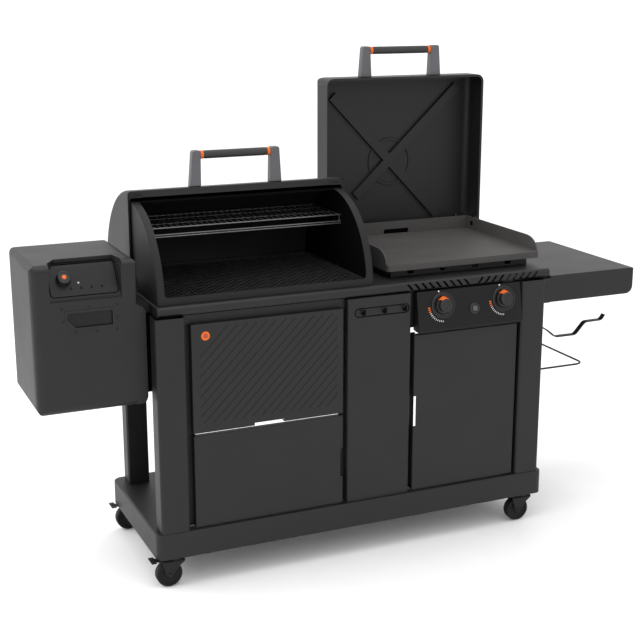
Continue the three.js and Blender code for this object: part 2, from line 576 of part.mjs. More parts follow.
function makeGriddlePlate() {
  const b = BURNER_BOX;
  const g = GRIDDLE;
  const wall = 4;
  const plan = plate(g.left, g.right, g.front, g.back, [g.corner, g.corner, 0, 0]);
  const slab = prism('z', plan, g.under, g.top);
  const skirt = cut(prism('z', plan, GRIDDLE_SKIRT, g.top),
    block(g.left + wall, g.right - wall, g.front + wall, g.back - wall, GRIDDLE_SKIRT - 1, g.top + 1));
  const side = new THREE.Shape();
  side.moveTo(g.front + g.corner + 2, g.top - 2);
  side.lineTo(g.back, g.top - 2);
  side.lineTo(g.back, GRIDDLE_RIM);
  side.lineTo(g.front + 90, GRIDDLE_RIM);
  side.bezierCurveTo(g.front + 55, GRIDDLE_RIM, g.front + 45, g.top + 4, g.front + g.corner + 2, g.top + 2);
  const sides = [g.left, g.right - wall].map((x) => prism('x', side, x, x + wall, 8));
  const rear = block(g.left, g.right, g.back - wall, g.back, g.top - 1, GRIDDLE_RIM);
  const grease = plate(GREASE_SLOT.left, GREASE_SLOT.right, g.top + 1, g.top + 1 + GREASE_SLOT.height,
    GREASE_SLOT.corner);
  const slot = prism('y', grease, g.back - 10, g.back + 5);
  const feet = [[b.left + 8, 135], [b.right - 8, 135], [b.left + 8, 515], [b.right - 8, 515]]
    .map((at) => rod('z', at, 10, b.top + GAP, g.under + 1, 12));
  piece('griddle_plate', cut(join(slab, skirt, ...sides, rear, ...feet), slot), 0x4b4542, 0.55, 0.6);
}

// The griddle's box lid standing on its hinge rod, with the rod's brackets and the handle.
function makeHood() {
  const h = HOOD;
  const boxed = (inset, front, low) => {
    const corner = h.corner - inset;
    const edge = h.edge - inset;
    const x = [h.left + inset, h.right - inset];
    const face = prism('y', plate(...x, low, h.top - inset, [0, 0, corner, corner]), front, h.back - inset);
    const plan = prism('z', plate(...x, front, h.back - inset, [0, 0, edge, edge]), low, h.top);
    return face.intersect(plan);
  };
  const pinHole = rod('x', [HOOD_PIVOT.y, HOOD_PIVOT.z], HOOD_PIVOT.radius + 0.5,
    h.left - 5, h.right + 5, 12);
  const lidBody = cut(boxed(0, h.front, h.bottom), boxed(SHEET, h.front - 1, h.bottom - 1), pinHole);
  piece('griddle_lid', lidBody, BLACK, 0.5, 0.3);
  makeHandle('griddle_handle', HOOD_HANDLE, h.top + GAP, HOOD_HANDLE.posts, null);

  const bracketSide = polygon([[543, FRAME.top + GAP], [563, FRAME.top + GAP], [593, 922], [590, 948],
    [566, 950], [551, 905], [551, 878], [543, 872]]);
  const brackets = [838, 1296].map((x) => prism('x', bracketSide, x, x + 6));
  const bar = rod('x', [HOOD_PIVOT.y, HOOD_PIVOT.z], HOOD_PIVOT.radius, h.left - 3, h.right + 3, 12);
  piece('griddle_hinge_rod', join(bar, ...brackets), 0x2c2c2e);
}

function makeGreaseCup() {
  const c = { left: 1000, right: 1100, front: FRAME.back + 0.5, back: 622, bottom: 790, top: 884 };
  const cup = cut(block(c.left, c.right, c.front, c.back, c.bottom, c.top),
    block(c.left + 1.5, c.right - 1.5, c.front + 1.5, c.back - 1.5, c.bottom + 1.5, c.top + 1));
  const lip = block(c.left + 10, c.right - 10, 552, c.front + 1, FRAME.top + GAP, FRAME.top + GAP + 1.5);
  piece('grease_cup', join(cup, lip), 0x8c8c8c, 0.4, 0.8);
}

// ---- Controls -----------------------------------------------------------------------------------
const controlTilt = Math.atan((CONTROL.topY - CONTROL.lowY) / (CONTROL.top - CONTROL.low));
const controlY = (z) => CONTROL.topY - (CONTROL.top - z) * Math.tan(controlTilt);

// A group whose z axis stands out of the sloping control panel at a given place.
function onPanel(x, z) {
  const group = new THREE.Group();
  group.position.set(x, controlY(z), z);
  group.rotation.x = Math.PI / 2 - controlTilt;
  cart.add(group);
  return group;
}

function tilted(body, x, z) {
  const geometry = geometryOf(body);
  geometry.rotateX(Math.PI / 2 - controlTilt).translate(x, controlY(z), z);
  return solid(geometry);
}

function makeControls() {
  const c = CONTROL;
  const face = (inset) => polygon([[c.topY + inset, c.top - inset], [c.lowY + inset, c.low + inset / 2],
    [c.lowY + 2 + inset, c.bottom + 4], [0, c.bottom + inset], [c.back + inset, c.bottom + inset],
    [c.back + inset, c.top - inset]]);
  const holes = KNOBS_X.map((x) => tilted(rod('z', [0, 0], 8, -12, 12, 16), x, KNOB_Z));
  const igniterHole = tilted(rod('z', [0, 0], IGNITER.radius + 0.5, -12, 12, 16), IGNITER.x, IGNITER.z);
  const inside = prism('x', face(SHEET), c.left + SHEET, c.right - SHEET);
  const panel = cut(prism('x', face(0), c.left, c.right), inside, ...holes, igniterHole);
  piece('control_panel', panel, 0x2c2c2e);

  ['left', 'right'].forEach((side, i) => {
    const grip = [];
    const flutes = 12;
    for (let k = 0; k < flutes * 2; k += 1) {
      const angle = (k / flutes) * Math.PI;
      const radius = k % 2 === 0 ? 21 : 19.8;
      grip.push([radius * Math.cos(angle), radius * Math.sin(angle)]);
    }
    const knob = join(rod('z', [0, 0], 26, 1, 6, 24, 24), prism('z', polygon(grip), 5, 24),
      rod('z', [0, 0], 5, -24, 2, 12));
    piece(`burner_knob_${side}`, knob, 0x1b1b1b, 0.5, 0.1, onPanel(KNOBS_X[i], KNOB_Z));
  });

  const button = join(rod('z', [0, 0], IGNITER.radius, -6, 8, 20),
    rod('z', [0, 0], IGNITER.radius + 3, -9, -5, 20));
  piece('igniter_button', button, 0x222222, 0.4, 0.1, onPanel(IGNITER.x, IGNITER.z));

  const pipe = rod('x', [62, 766], 9, 900, 1200, 10);
  const valves = KNOBS_X.map((x) => tilted(rod('z', [0, 0], 11, -62, -26, 10), x, KNOB_Z));
  const jets = KNOBS_X.map((x) => join(rod('y', [x, 775], 7, 60, 106, 8),
    rod('y', [x, 775], 14, 105, BURNER_BOX.front - GAP, 12)));
  piece('gas_manifold', join(pipe, ...valves, ...jets), 0xb39a4c, 0.4, 0.9);

  const knob = rod('z', [0, 0], HOPPER_KNOB.radius, 0.5, HOPPER_KNOB.height, 24, HOPPER_KNOB.radius - 2);
  const turned = new THREE.Group();
  const knobZ = CONSOLE.lowZ + (HOPPER_KNOB.y - CONSOLE.lowY) * CONSOLE_SLOPE;
  turned.position.set(HOPPER_KNOB.x, HOPPER_KNOB.y, knobZ);
  turned.rotation.x = Math.atan(CONSOLE_SLOPE);
  cart.add(turned);
  piece('hopper_knob', knob, 0x1b1b1b, 0.5, 0.1, turned);
}

// ---- Right side ---------------------------------------------------------------------------------
function makeRightSide() {
  const s = SHELF;
  const outline = plate(s.left, s.right, s.bottom, s.top, [0, s.corner, 6, 0]);
  const hollow = plate(s.left + SHEET, s.right - SHEET, s.bottom - 40, s.top - SHEET, [0, 0, 4, 0]);
  const skin = cut(prism('y', outline, s.front, s.back),
    prism('y', hollow, s.front + SHEET, s.back - SHEET));
  const legRight = BASE.right - FRONT_LEG.left - 2;
  const lugs = [[legRight + GAP, 20, 60], [BASE.right - REAR_LEG.left + GAP, 436, 478]]
    .map(([x, y0, y1]) => block(x, s.left + 1, y0, y1, s.bottom + 8, s.top - 20));
  const apron = block(legRight + GAP, s.left + 1, s.front, s.front + SHEET, s.bottom, FRAME.bottom - GAP);
  piece('side_shelf', join(skin, ...lugs, apron));

  const arm = strap(ARM.path, ARM.sheet, ARM.bend);
  piece('towel_arm', prism('y', arm, ARM.y - ARM.half, ARM.y + ARM.half), 0x1f1f20);

  const hoopZ = 520;
  const rearLegRight = BASE.right - REAR_LEG.left;
  const hoop = wire([[legRight + 0.5, 20, hoopZ], [1488, 20, hoopZ], [1491, 456, hoopZ],
    [rearLegRight + 0.5, 456, hoopZ]], 3.2, 34);
  piece('bag_hoop', hoop, 0x2b2b2c, 0.4, 0.6);
}

// ---- Casters ------------------------------------------------------------------------------------
function makeCasters() {
  const t = CASTER.trail;
  const half = CASTER.width / 2;
  const hub = CASTER.wheel;
  Object.entries(CASTERS).forEach(([where, [x, y]]) => {
    const group = new THREE.Group();
    group.position.set(x, y, 0);
    cart.add(group);
    const front = CASTER.front;
    const cheek = polygon([[-44, 84], [-44, 76], [-t - 11, hub], [-t - 5, hub - 9], [-t + 5, hub - 9],
      [-t + 11, hub], [front - 16, 66], [front, 78], [front, 84]]);
    const crown = join(block(-44, front, -half - 4.5, half + 4.5, 81, 84.5),
      rod('z', [0, 0], 20, 84, BASE.bottom - GAP, 14));
    const cheeks = [-half - 4.5, half + 1.5].map((y0) => prism('y', cheek, y0, y0 + 3));
    const axle = rod('y', [-t, hub], CASTER.axle, -half - 7, half + 7, 8);
    piece(`caster_fork_${where}`, join(crown, ...cheeks, axle), 0x2a2a2a, 0.5, 0.5, group);

    const tyre = new THREE.Shape();
    tyre.moveTo(CASTER.axle + 0.4, -half);
    tyre.lineTo(hub - 4, -half);
    tyre.lineTo(hub, -half + 4);
    tyre.lineTo(hub, half - 4);
    tyre.lineTo(hub - 4, half);
    tyre.lineTo(CASTER.axle + 0.4, half);
    tyre.closePath();
    const spun = new THREE.LatheGeometry(tyre.getPoints(), 24);
    const wheel = piece(`caster_wheel_${where}`, solid(spun), 0x161616, 0.8, 0, group);
    wheel.position.set(-t, 0, hub);

    if (where.endsWith('left')) {
      const pad = BRAKE_PAD;
      const neck = prism('y', polygon([[-46, 79], [-46, 83], [pad.right, pad.high], [pad.left, pad.high],
        [pad.left, pad.low], [pad.right + 1, pad.low]]), -pad.neck, pad.neck);
      const pedal = join(neck, block(pad.left, pad.right, -pad.half, pad.half, pad.low, pad.high));
      piece(`brake_lever_${where.replace('_left', '')}`, pedal, 0x3a3a3a, 0.5, 0.5, group);
    }
  });
}

makeBase();
makeLegs();
makeFrame();
makeCenterPanel();
makeDoors();
makeSmoker();
makeHopper();
makeFeed();
makeBurners();
makeGriddlePlate();
makeHood();
makeGreaseCup();
makeControls();
makeRightSide();
makeCasters();

const extent = new THREE.Box3().setFromObject(cart, true);
const middle = extent.getCenter(new THREE.Vector3());
cart.position.set(-middle.x, -middle.y, -extent.min.z);
const object = new THREE.Group();
object.add(cart);

export default object;
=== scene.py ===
"""Looks for the pellet smoker and gas griddle cart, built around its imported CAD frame.

Shapes are written in the cart's own millimetres: X from the base's left side, Y from its front, Z from the
floor. TO_FRAME carries them to the frame's metres. A piece that stands for a CAD node takes its sizes from
that node's box.
"""

import json
from math import atan, atan2, cos, degrees, radians, sin, tan, tau
from types import SimpleNamespace as Sizes

import bmesh
import bpy
from mathutils import Matrix, Vector


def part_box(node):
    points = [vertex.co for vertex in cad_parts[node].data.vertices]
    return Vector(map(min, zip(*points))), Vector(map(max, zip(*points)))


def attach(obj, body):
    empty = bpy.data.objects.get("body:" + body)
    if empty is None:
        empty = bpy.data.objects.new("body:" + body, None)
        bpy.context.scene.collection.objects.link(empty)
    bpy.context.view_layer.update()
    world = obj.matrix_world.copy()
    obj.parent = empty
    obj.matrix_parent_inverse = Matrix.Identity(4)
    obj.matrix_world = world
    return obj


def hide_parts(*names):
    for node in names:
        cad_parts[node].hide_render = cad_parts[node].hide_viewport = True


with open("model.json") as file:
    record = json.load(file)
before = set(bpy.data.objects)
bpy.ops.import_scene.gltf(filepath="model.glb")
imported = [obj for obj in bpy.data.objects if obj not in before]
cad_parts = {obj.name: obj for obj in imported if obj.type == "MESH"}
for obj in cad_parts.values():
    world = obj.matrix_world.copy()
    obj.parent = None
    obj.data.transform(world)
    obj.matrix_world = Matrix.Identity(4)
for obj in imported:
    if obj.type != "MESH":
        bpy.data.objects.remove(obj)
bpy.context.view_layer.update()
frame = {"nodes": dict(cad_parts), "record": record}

# ---- Places and names ----
MM = 0.001
BASE_BOTTOM = 93.0
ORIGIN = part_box("base_tray")[0] - Vector((0, 0, BASE_BOTTOM * MM))
TO_FRAME = Matrix.Translation(ORIGIN) @ Matrix.Scale(MM, 4)
TO_CART = TO_FRAME.inverted()
WELD = 0.01
SMOOTH = 32
SHEET = 2.0
GAP = 0.3

BODY_OF = {node: body for body, nodes in frame["record"]["behaviour"]["bodies"].items() for node in nodes}
SLOT_OF = {part["node"]: part["material_slot"] for part in frame["record"]["subparts"]}


def cad(node):
    """A CAD node's box in cart millimetres: x0, x1, y0, y1, z0, z1."""
    low, high = (TO_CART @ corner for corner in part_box(node))
    return low.x, high.x, low.y, high.y, low.z, high.z


def add_object(name, data):
    obj = bpy.data.objects.new(name, data)
    bpy.context.collection.objects.link(obj)
    return obj


def as_mesh(name, bm):
    """Turns a solid into a mesh. The solid is used up."""
    mesh = bpy.data.meshes.new(name)
    bm.to_mesh(mesh)
    bm.free()
    return mesh


# ---- Camera, light and floor ----
CAMERA = Sizes(place=(-1.6208, -3.6277, 1.7347), pitch=14.772, turn=23.795, lens=71.21, sensor=36.0)
AIM = (0, 0, 0.8)
SOFTBOXES = {"left_softbox": ((-3.0, 0.8, 2.9), 2.4, 58), "top_softbox": ((-0.5, -0.6, 4.0), 2.6, 34)}
SKY_STRENGTH = 1.2
FLOOR_REACH, FLOOR_DROP = 14, 0.001


def make_camera():
    data = bpy.data.cameras.new("camera")
    data.lens, data.sensor_width = CAMERA.lens, CAMERA.sensor
    camera = add_object("camera", data)
    camera.location = CAMERA.place
    camera.rotation_euler = (radians(90 - CAMERA.pitch), 0, radians(-CAMERA.turn))
    bpy.context.scene.camera = camera


def make_softbox(name, place, size, watts):
    data = bpy.data.lights.new(name, "AREA")
    data.shape, data.size, data.energy = "DISK", size, watts
    light = add_object(name, data)
    light.location = place
    light.rotation_euler = (Vector(AIM) - Vector(place)).to_track_quat("-Z", "Y").to_euler()


def make_stage():
    world = bpy.data.worlds.new("studio")
    world.use_nodes = True
    sky = world.node_tree.nodes["Background"]
    sky.inputs["Color"].default_value = (1, 1, 1, 1)
    sky.inputs["Strength"].default_value = SKY_STRENGTH
    bpy.context.scene.world = world
    bpy.context.scene.view_settings.view_transform = "Standard"
    for name, values in SOFTBOXES.items():
        make_softbox(name, *values)

    bm = bmesh.new()
    bmesh.ops.create_grid(bm, x_segments=1, y_segments=1, size=FLOOR_REACH)
    floor = add_object("floor", as_mesh("floor", bm))
    floor.location.z = -FLOOR_DROP
    floor.data.materials.append(LOOKS["floor"])


# ---- Materials ----
LOOKS = {}
BRUSHED = (1, 24, 24)


def look(name, colour, roughness, metallic=0.0, specular=0.5, grain=900.0, bump=0.06, mottle=0.12,
         mottle_scale=9.0, stretch=(1, 1, 1), swing=0.06, tint=None):
    """A procedural finish: broad colour drift, fine grain in height, and a drifting roughness.

    A colour given as one number is a neutral grey.
    """
    material = LOOKS[name] = bpy.data.materials.new(name)
    material.use_nodes = True
    nodes, links = material.node_tree.nodes, material.node_tree.links
    shader = nodes["Principled BSDF"]
    shader.inputs["Metallic"].default_value = metallic
    shader.inputs["Specular IOR Level"].default_value = specular

    def add(kind, sockets=None, **settings):
        """A new node whose sockets are given values or links."""
        node = nodes.new("ShaderNode" + kind)
        for key, value in settings.items():
            setattr(node, key, value)
        for socket, value in (sockets or {}).items():
            if isinstance(value, bpy.types.NodeSocket):
                links.new(value, node.inputs[socket])
            else:
                node.inputs[socket].default_value = value
        return node.outputs

    place = add("Mapping", {"Vector": add("TexCoord")["Object"], "Scale": stretch})["Vector"]
    broad = add("TexNoise", {"Vector": place, "Scale": mottle_scale, "Detail": 4})["Fac"]
    fine = add("TexNoise", {"Vector": place, "Scale": grain, "Detail": 3})["Fac"]
    rgb = (colour,) * 3 if isinstance(colour, float) else colour
    dark = (*[c * (1 - mottle) for c in rgb], 1)
    light = (*(tint or [min(1, c * (1 + mottle)) for c in rgb]), 1)
    drift = add("MapRange", {"Value": broad, "From Min": 0.3, "From Max": 0.7})["Result"]
    base = add("Mix", {"Factor": drift, "A": dark, "B": light}, data_type="RGBA")["Result"]
    both = add("Math", {0: broad, 1: fine}, operation="MULTIPLY")[0]
    doubled = add("Math", {0: both, 1: 2.0}, operation="MULTIPLY")[0]
    gloss = add("MapRange", {"Value": doubled, "To Min": max(0.02, roughness - swing),
                             "To Max": min(1.0, roughness + swing)})["Result"]
    relief = add("Bump", {"Height": fine, "Distance": bump * MM, "Strength": 0.6})["Normal"]
    for socket, source in (("Base Color", base), ("Roughness", gloss), ("Normal", relief)):
        links.new(source, shader.inputs[socket])


look("powder_coat", (0.0098, 0.0098, 0.0101), 0.48, specular=0.31, bump=0.05)
look("barrel_paint", 0.0085, 0.55, specular=0.26, bump=0.07, swing=0.1)
look("fascia_paint", 0.0055, 0.5, specular=0.19, bump=0.05)
# Flat black for screws, hooks, jacks and the fire parts. The same black also stands as painted shade in the
# barrel's inner skins, the band under the smoker lid's lip, the lid's side strips and the hook window's
# outline.
look("black_and_painted_shade", 0.0022, 0.7, specular=0.04, bump=0.12, mottle=0.3, swing=0.12)
look("grate_iron", (0.016, 0.0155, 0.015), 0.5, specular=0.45, grain=500, bump=0.3, mottle=0.35,
     mottle_scale=30)
look("rack_wire", (0.15, 0.149, 0.146), 0.36, metallic=0.6, grain=1500, bump=0.02)
look("burnt_steel", (0.07, 0.055, 0.045), 0.6, metallic=0.7, grain=600, bump=0.15, mottle=0.4,
     mottle_scale=22, tint=(0.05, 0.06, 0.09))
look("griddle_steel", (0.063, 0.0605, 0.059), 0.6, specular=0.16, grain=420, bump=0.05, mottle=0.07,
     mottle_scale=6, swing=0.05, stretch=(1, 3, 3))
look("handle_grey", (0.092, 0.092, 0.10), 0.42, metallic=0.3, grain=1400, bump=0.02)
look("handle_grip", (0.021, 0.021, 0.022), 0.55, specular=0.42, grain=1300, bump=0.12)
look("knob_plastic", (0.009, 0.009, 0.0095), 0.40, specular=0.4, grain=1600, bump=0.03)
look("console_plastic", (0.0045, 0.0045, 0.005), 0.42, specular=0.28, grain=1800, bump=0.03)
look("window_pane", 0.009, 0.3, specular=0.2, grain=60, bump=0.004, swing=0.02)
look("bare_steel", (0.42, 0.42, 0.43), 0.34, metallic=1.0, stretch=BRUSHED, grain=160, bump=0.02, swing=0.1)
look("motor_metal", (0.32, 0.32, 0.33), 0.48, metallic=0.9, grain=700, bump=0.08)
look("brass_fittings", (0.50, 0.36, 0.14), 0.36, metallic=1.0, grain=900, bump=0.03)
look("caster_metal", 0.005, 0.42, specular=0.26, bump=0.05)
look("caster_rubber", 0.005, 0.6, specular=0.22, grain=1100, bump=0.1)
look("wire_black", 0.008, 0.42, specular=0.3, bump=0.04)
look("orange_enamel", (0.66, 0.125, 0.016), 0.42, specular=0.25, grain=1300, bump=0.03, mottle=0.08)
look("white_print", 0.75, 0.5, grain=1500, bump=0.02, mottle=0.05)
look("lamp_lens", (0.35, 0.35, 0.36), 0.15, grain=300, bump=0.02, mottle=0.1)
look("badge_core", (0.36, 0.05, 0.012), 0.45, grain=1300, bump=0.03, mottle=0.1)
look("black_screw", 0.012, 0.36, metallic=0.3, grain=1400, bump=0.03)
look("ring_grey", (0.085, 0.085, 0.09), 0.38, metallic=0.4, grain=1500, bump=0.02)
look("floor", 0.95, 0.7, specular=0.2, grain=220, bump=0.02, mottle=0.01)


# ---- Solids, in cart millimetres ----
# For each axis, where a section's two directions and its level go in a point.
AXES = {"x": (1, 2, 0), "y": (0, 2, 1), "z": (0, 1, 2)}


def loft(rings, wrap=False, closed=True):
    """Skins a row of rings of 3-D points, with flat ends unless the row wraps round."""
    bm = bmesh.new()
    grid = [[bm.verts.new(point) for point in ring] for ring in rings]
    count = len(grid[0])
    for a in range(len(grid) if wrap else len(grid) - 1):
        near, far = grid[a], grid[(a + 1) % len(grid)]
        for i in range(count if closed else count - 1):
            j = (i + 1) % count
            bm.faces.new((near[i], near[j], far[j], far[i]))
    if closed and not wrap:
        bm.faces.new(grid[0][::-1])
        bm.faces.new(grid[-1])
    bmesh.ops.remove_doubles(bm, verts=bm.verts, dist=WELD)
    bmesh.ops.dissolve_degenerate(bm, edges=bm.edges, dist=WELD)
    bmesh.ops.recalc_face_normals(bm, faces=bm.faces)
    return bm


def flat_ring(axis, outline, level):
    """An outline's points in space. Along x it is (y, z), along y (x, z), along z (x, y)."""
    u_at, v_at, w_at = AXES[axis]
    ring = []
    for u, v in outline:
        point = [0.0, 0.0, 0.0]
        point[u_at], point[v_at], point[w_at] = u, v, level
        ring.append(point)
    return ring


def prism(axis, outline, low, high, end=None):
    """An outline pushed along an axis, to a second outline if one is given."""
    return loft([flat_ring(axis, outline, low), flat_ring(axis, end or outline, high)])


def block(x0, x1, y0, y1, z0, z1):
    return prism("z", [(x0, y0), (x1, y0), (x1, y1), (x0, y1)], z0, z1)


def arc(u, v, radius, start, end, steps=8):
    angles = [radians(start + (end - start) * i / steps) for i in range(steps + 1)]
    return [(u + radius * cos(a), v + radius * sin(a)) for a in angles]


def rounded(u0, u1, v0, v1, radii, steps=8, inset=0):
    """A rectangle with a radius at each corner: low-low, high-low, high-high, low-high.

    An inset moves its sides inward and takes as much off its radii.
    """
    u0, u1, v0, v1 = u0 + inset, u1 - inset, v0 + inset, v1 - inset
    a, b, c, d = [r - inset for r in (radii if isinstance(radii, (tuple, list)) else (radii,) * 4)]
    corners = [(u0 + a, v0 + a, a, 180), (u1 - b, v0 + b, b, 270), (u1 - c, v1 - c, c, 0),
               (u0 + d, v1 - d, d, 90)]
    points = []
    for u, v, radius, start in corners:
        points += arc(u, v, radius, start, start + 90, steps) if radius > 0 else [(u, v)]
    return points


def lathe(profile, axis="z", centre=(0, 0, 0), steps=48, closed=False, turn=(0, 360)):
    """Turns (radius, height) points about an axis, all the way round or between two angles."""
    u_at, v_at, w_at = AXES[axis]
    full = turn[1] - turn[0] >= 360
    rings = []
    for k in range(steps if full else steps + 1):
        angle = radians(turn[0] + (turn[1] - turn[0]) * k / steps)
        ring = []
        for radius, height in profile:
            point = list(centre)
            point[u_at] += radius * cos(angle)
            point[v_at] += radius * sin(angle)
            point[w_at] += height
            ring.append(point)
        rings.append(ring)
    return loft(rings, wrap=full, closed=closed)


def rod(radius, low, high, axis="z", centre=(0, 0, 0), steps=24):
    """A plain shaft or bore between two levels on its axis."""
    return lathe([(0, low), (radius, low), (radius, high), (0, high)], axis, centre, steps)


def bent(points, radius, steps=6):
    """A path through points, with its corners rounded."""
    stops = [Vector(p) for p in points]
    path = [stops[0]]
    for before, corner, after in zip(stops, stops[1:], stops[2:]):
        start = corner.lerp(before, min(0.5, radius / (corner - before).length))
        end = corner.lerp(after, min(0.5, radius / (corner - after).length))
        for i in range(steps + 1):
            t = i / steps
            path.append(start.lerp(corner, t).lerp(corner.lerp(end, t), t))
    return path + [stops[-1]]


def strap(points, sheet, bend):
    """The edge view of a flat strap bent along a path of (u, v) points."""
    path = [point.xy for point in bent([(u, v, 0) for u, v in points], bend)]
    sides = {1: [], -1: []}
    for i, at in enumerate(path):
        along = (path[min(i + 1, len(path) - 1)] - path[max(i - 1, 0)]).normalized()
        for side, row in sides.items():
            row.append((at.x - along.y * side * sheet / 2, at.y + along.x * side * sheet / 2))
    return sides[1] + sides[-1][::-1]


def tube(path, radius, sides=12):
    """A round bar along a path. Its section is carried along without twisting."""
    path = [Vector(p) for p in path]
    count = len(path)
    rings, up = [], None
    for i, point in enumerate(path):
        along = (path[min(i + 1, count - 1)] - path[max(i - 1, 0)]).normalized()
        if up is None:
            up = along.orthogonal().normalized()
        up = (up - along * up.dot(along)).normalized()
        side = along.cross(up)
        turns = [tau * k / sides for k in range(sides)]
        rings.append([point + up * radius * cos(a) + side * radius * sin(a) for a in turns])
    return loft(rings)


def merge(*solids):
    """Puts several solids into one mesh, as they are."""
    bm = solids[0]
    for other in solids[1:]:
        mesh = as_mesh("part", other)
        bm.from_mesh(mesh)
        bpy.data.meshes.remove(mesh)
    return bm


def combine(base, tool, operation="DIFFERENCE"):
    """One exact boolean. Both solids are used up."""
    objects = [add_object("part", as_mesh("part", bm)) for bm in (base, tool)]
    modifier = objects[0].modifiers.new("combine", "BOOLEAN")
    modifier.object, modifier.operation, modifier.solver = objects[1], operation, "EXACT"
    evaluated = objects[0].evaluated_get(bpy.context.evaluated_depsgraph_get())
    result = bmesh.new()
    result.from_mesh(evaluated.to_mesh())
    evaluated.to_mesh_clear()
    for obj in objects:
        mesh = obj.data
        bpy.data.objects.remove(obj)
        bpy.data.meshes.remove(mesh)
    bmesh.ops.remove_doubles(result, verts=result.verts, dist=WELD)
    bmesh.ops.dissolve_degenerate(result, edges=result.edges, dist=WELD)
    return result


def common(base, *others):
    for other in others:
        base = combine(base, other, "INTERSECT")
    return base


def cut(base, *tools):
    for tool in tools:
        base = combine(base, tool)
    return base


def join(base, *others):
    for other in others:
        base = combine(base, other, "UNION")
    return base


def fillet(bm, radius, pick, segments=4):
    """Rounds the edges that pick(middle, direction) accepts."""
    def wanted(edge):
        if len(edge.link_faces) != 2 or edge.calc_face_angle(0) < radians(20):
            return False
        a, b = (vert.co for vert in edge.verts)
        return pick((a + b) / 2, (b - a).normalized())

    edges = [edge for edge in bm.edges if wanted(edge)]
    bmesh.ops.bevel(bm, geom=edges, offset=radius, segments=segments, profile=0.5, affect="EDGES",
                    clamp_overlap=True)
    return bm


def placed(bm, x, y, z, tilt=0.0, about="X"):
    """Moves a solid drawn about the zero. A tilt about X turns its z axis forward, and about Y right."""
    bm.transform(Matrix.Translation((x, y, z)) @ Matrix.Rotation(radians(tilt), 4, about))
    return bm


def piece(name, bm, node=None, body=None, finish=None, bevel=0.0, segments=2):
    """Makes a Blender object from a solid. A named node, or several, gives body, finish and is hidden."""
    nodes = [node] if isinstance(node, str) else list(node or [])
    slot = SLOT_OF[nodes[0]] if nodes else None
    finish = finish or slot
    bmesh.ops.recalc_face_normals(bm, faces=bm.faces)
    bm.transform(TO_FRAME)
    mesh = as_mesh(name, bm)
    obj = add_object(name, mesh)
    mesh.materials.append(LOOKS[finish])
    mesh.shade_smooth()
    if bevel:
        rim = obj.modifiers.new("rim", "BEVEL")
        rim.width, rim.segments = bevel * MM, segments
        rim.limit_method, rim.angle_limit = "ANGLE", radians(SMOOTH)
    else:
        mesh.set_sharp_from_angle(angle=radians(SMOOTH))
    facing = obj.modifiers.new("facing", "WEIGHTED_NORMAL")
    facing.keep_sharp = True
    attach(obj, body or BODY_OF[nodes[0]])
    if nodes:
        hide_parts(*nodes)
    return obj


def trim(name, bm, finish="black_and_painted_shade", body="cart", bevel=0.0):
    """A fitting that stands for no CAD node."""
    return piece(name, bm, body=body, finish=finish, bevel=bevel)


def dress(node, bevel=1.0, segments=2, finish=None):
    """A CAD node's own shape with its flat faces whole again and its edges rounded."""
    bm = bmesh.new()
    bm.from_mesh(frame["nodes"][node].data)
    bm.transform(TO_CART)
    bmesh.ops.remove_doubles(bm, verts=bm.verts, dist=WELD)
    bmesh.ops.dissolve_limit(bm, angle_limit=radians(1), verts=bm.verts, edges=bm.edges)
    return piece(node + "_finished", bm, node, finish=finish, bevel=bevel, segments=segments)


def screw(radius=4.0, height=2.2):
    """A button-head screw with a round socket, drawn on the zero and facing +z."""
    profile = [(0, 0.3), (0.4, 0.3), (0.45, 1), (0.75, 0.9), (1, 0.35)]
    return lathe([(radius * r, height * z) for r, z in profile] + [(radius, -0.5), (0, -0.5)], steps=16)


def screws(name, places, body="cart", finish="black_screw", radius=4.0):
    """A set of screws at (x, y, z) places, facing forward."""
    trim(name, merge(*[placed(screw(radius), *place, 90) for place in places]), finish, body)


# ---- Base, legs and top frame ----
BASE_CORNER, BASE_FLANGE, BASE_FILLET = 24, 60, 7
LEG_CORNERS = {"front": 9, "rear": 7}
FRAME_ROLL, FRAME_WALL, FRAME_EDGE, FRAME_FILLET = 13, 3, 4, 5
# How far each opening in the deck stands inside the part over it: left, right, and both front and back.
OPENINGS = {"smoker_tub": (9, 5, 12), "burner_box": (10, 10, 0)}
OPENING_SLACK = 0.5
VENTS = Sizes(count=9, low=833, high=852, width=9, lean=16, depth=14)
VENT_ROWS = [(829, 1028, -1), (1078, 1279, 1)]
STOPS = [(101, 136, 175.5, 824), (598, 620, 175.5, 795), (829.5, 860.5, 175.5, 692), (832.5, 872, 708, 824),
         (1196, 1230, 175.5, 692)]
STOP_FRONT = 38
SHELF_RAIL = Sizes(left=105, right=616, front=31.5, low=797, foot=22)


def make_base():
    x0, x1, y0, y1, z0, z1 = cad("base_tray")
    outer = prism("z", rounded(x0, x1, y0, y1, BASE_CORNER), z0, z1)
    fillet(outer, BASE_FILLET, lambda at, way: at.z > z1 - 1 and abs(way.z) < 0.1)
    inner = prism("z", rounded(x0, x1, y0, y1, BASE_CORNER, inset=SHEET), z0 + SHEET, z1 - BASE_FILLET)
    mouth = block(x0 + BASE_FLANGE, x1 - BASE_FLANGE, y0 + BASE_FLANGE, y1 - BASE_FLANGE,
                  z0 - 1, z0 + SHEET + 1)
    piece("base_skirted_shelf", cut(outer, inner, mouth), "base_tray")


def make_legs():
    for end, corner in LEG_CORNERS.items():
        for side in ("left", "right"):
            node = f"leg_{end}_{side}"
            x0, x1, y0, y1, z0, z1 = cad(node)
            outer = prism("z", rounded(x0, x1, y0, y1, corner), z0, z1)
            bore = prism("z", rounded(x0, x1, y0, y1, corner, inset=SHEET), z0 - 1, z1 + 1)
            piece(node + "_post", cut(outer, bore), node)


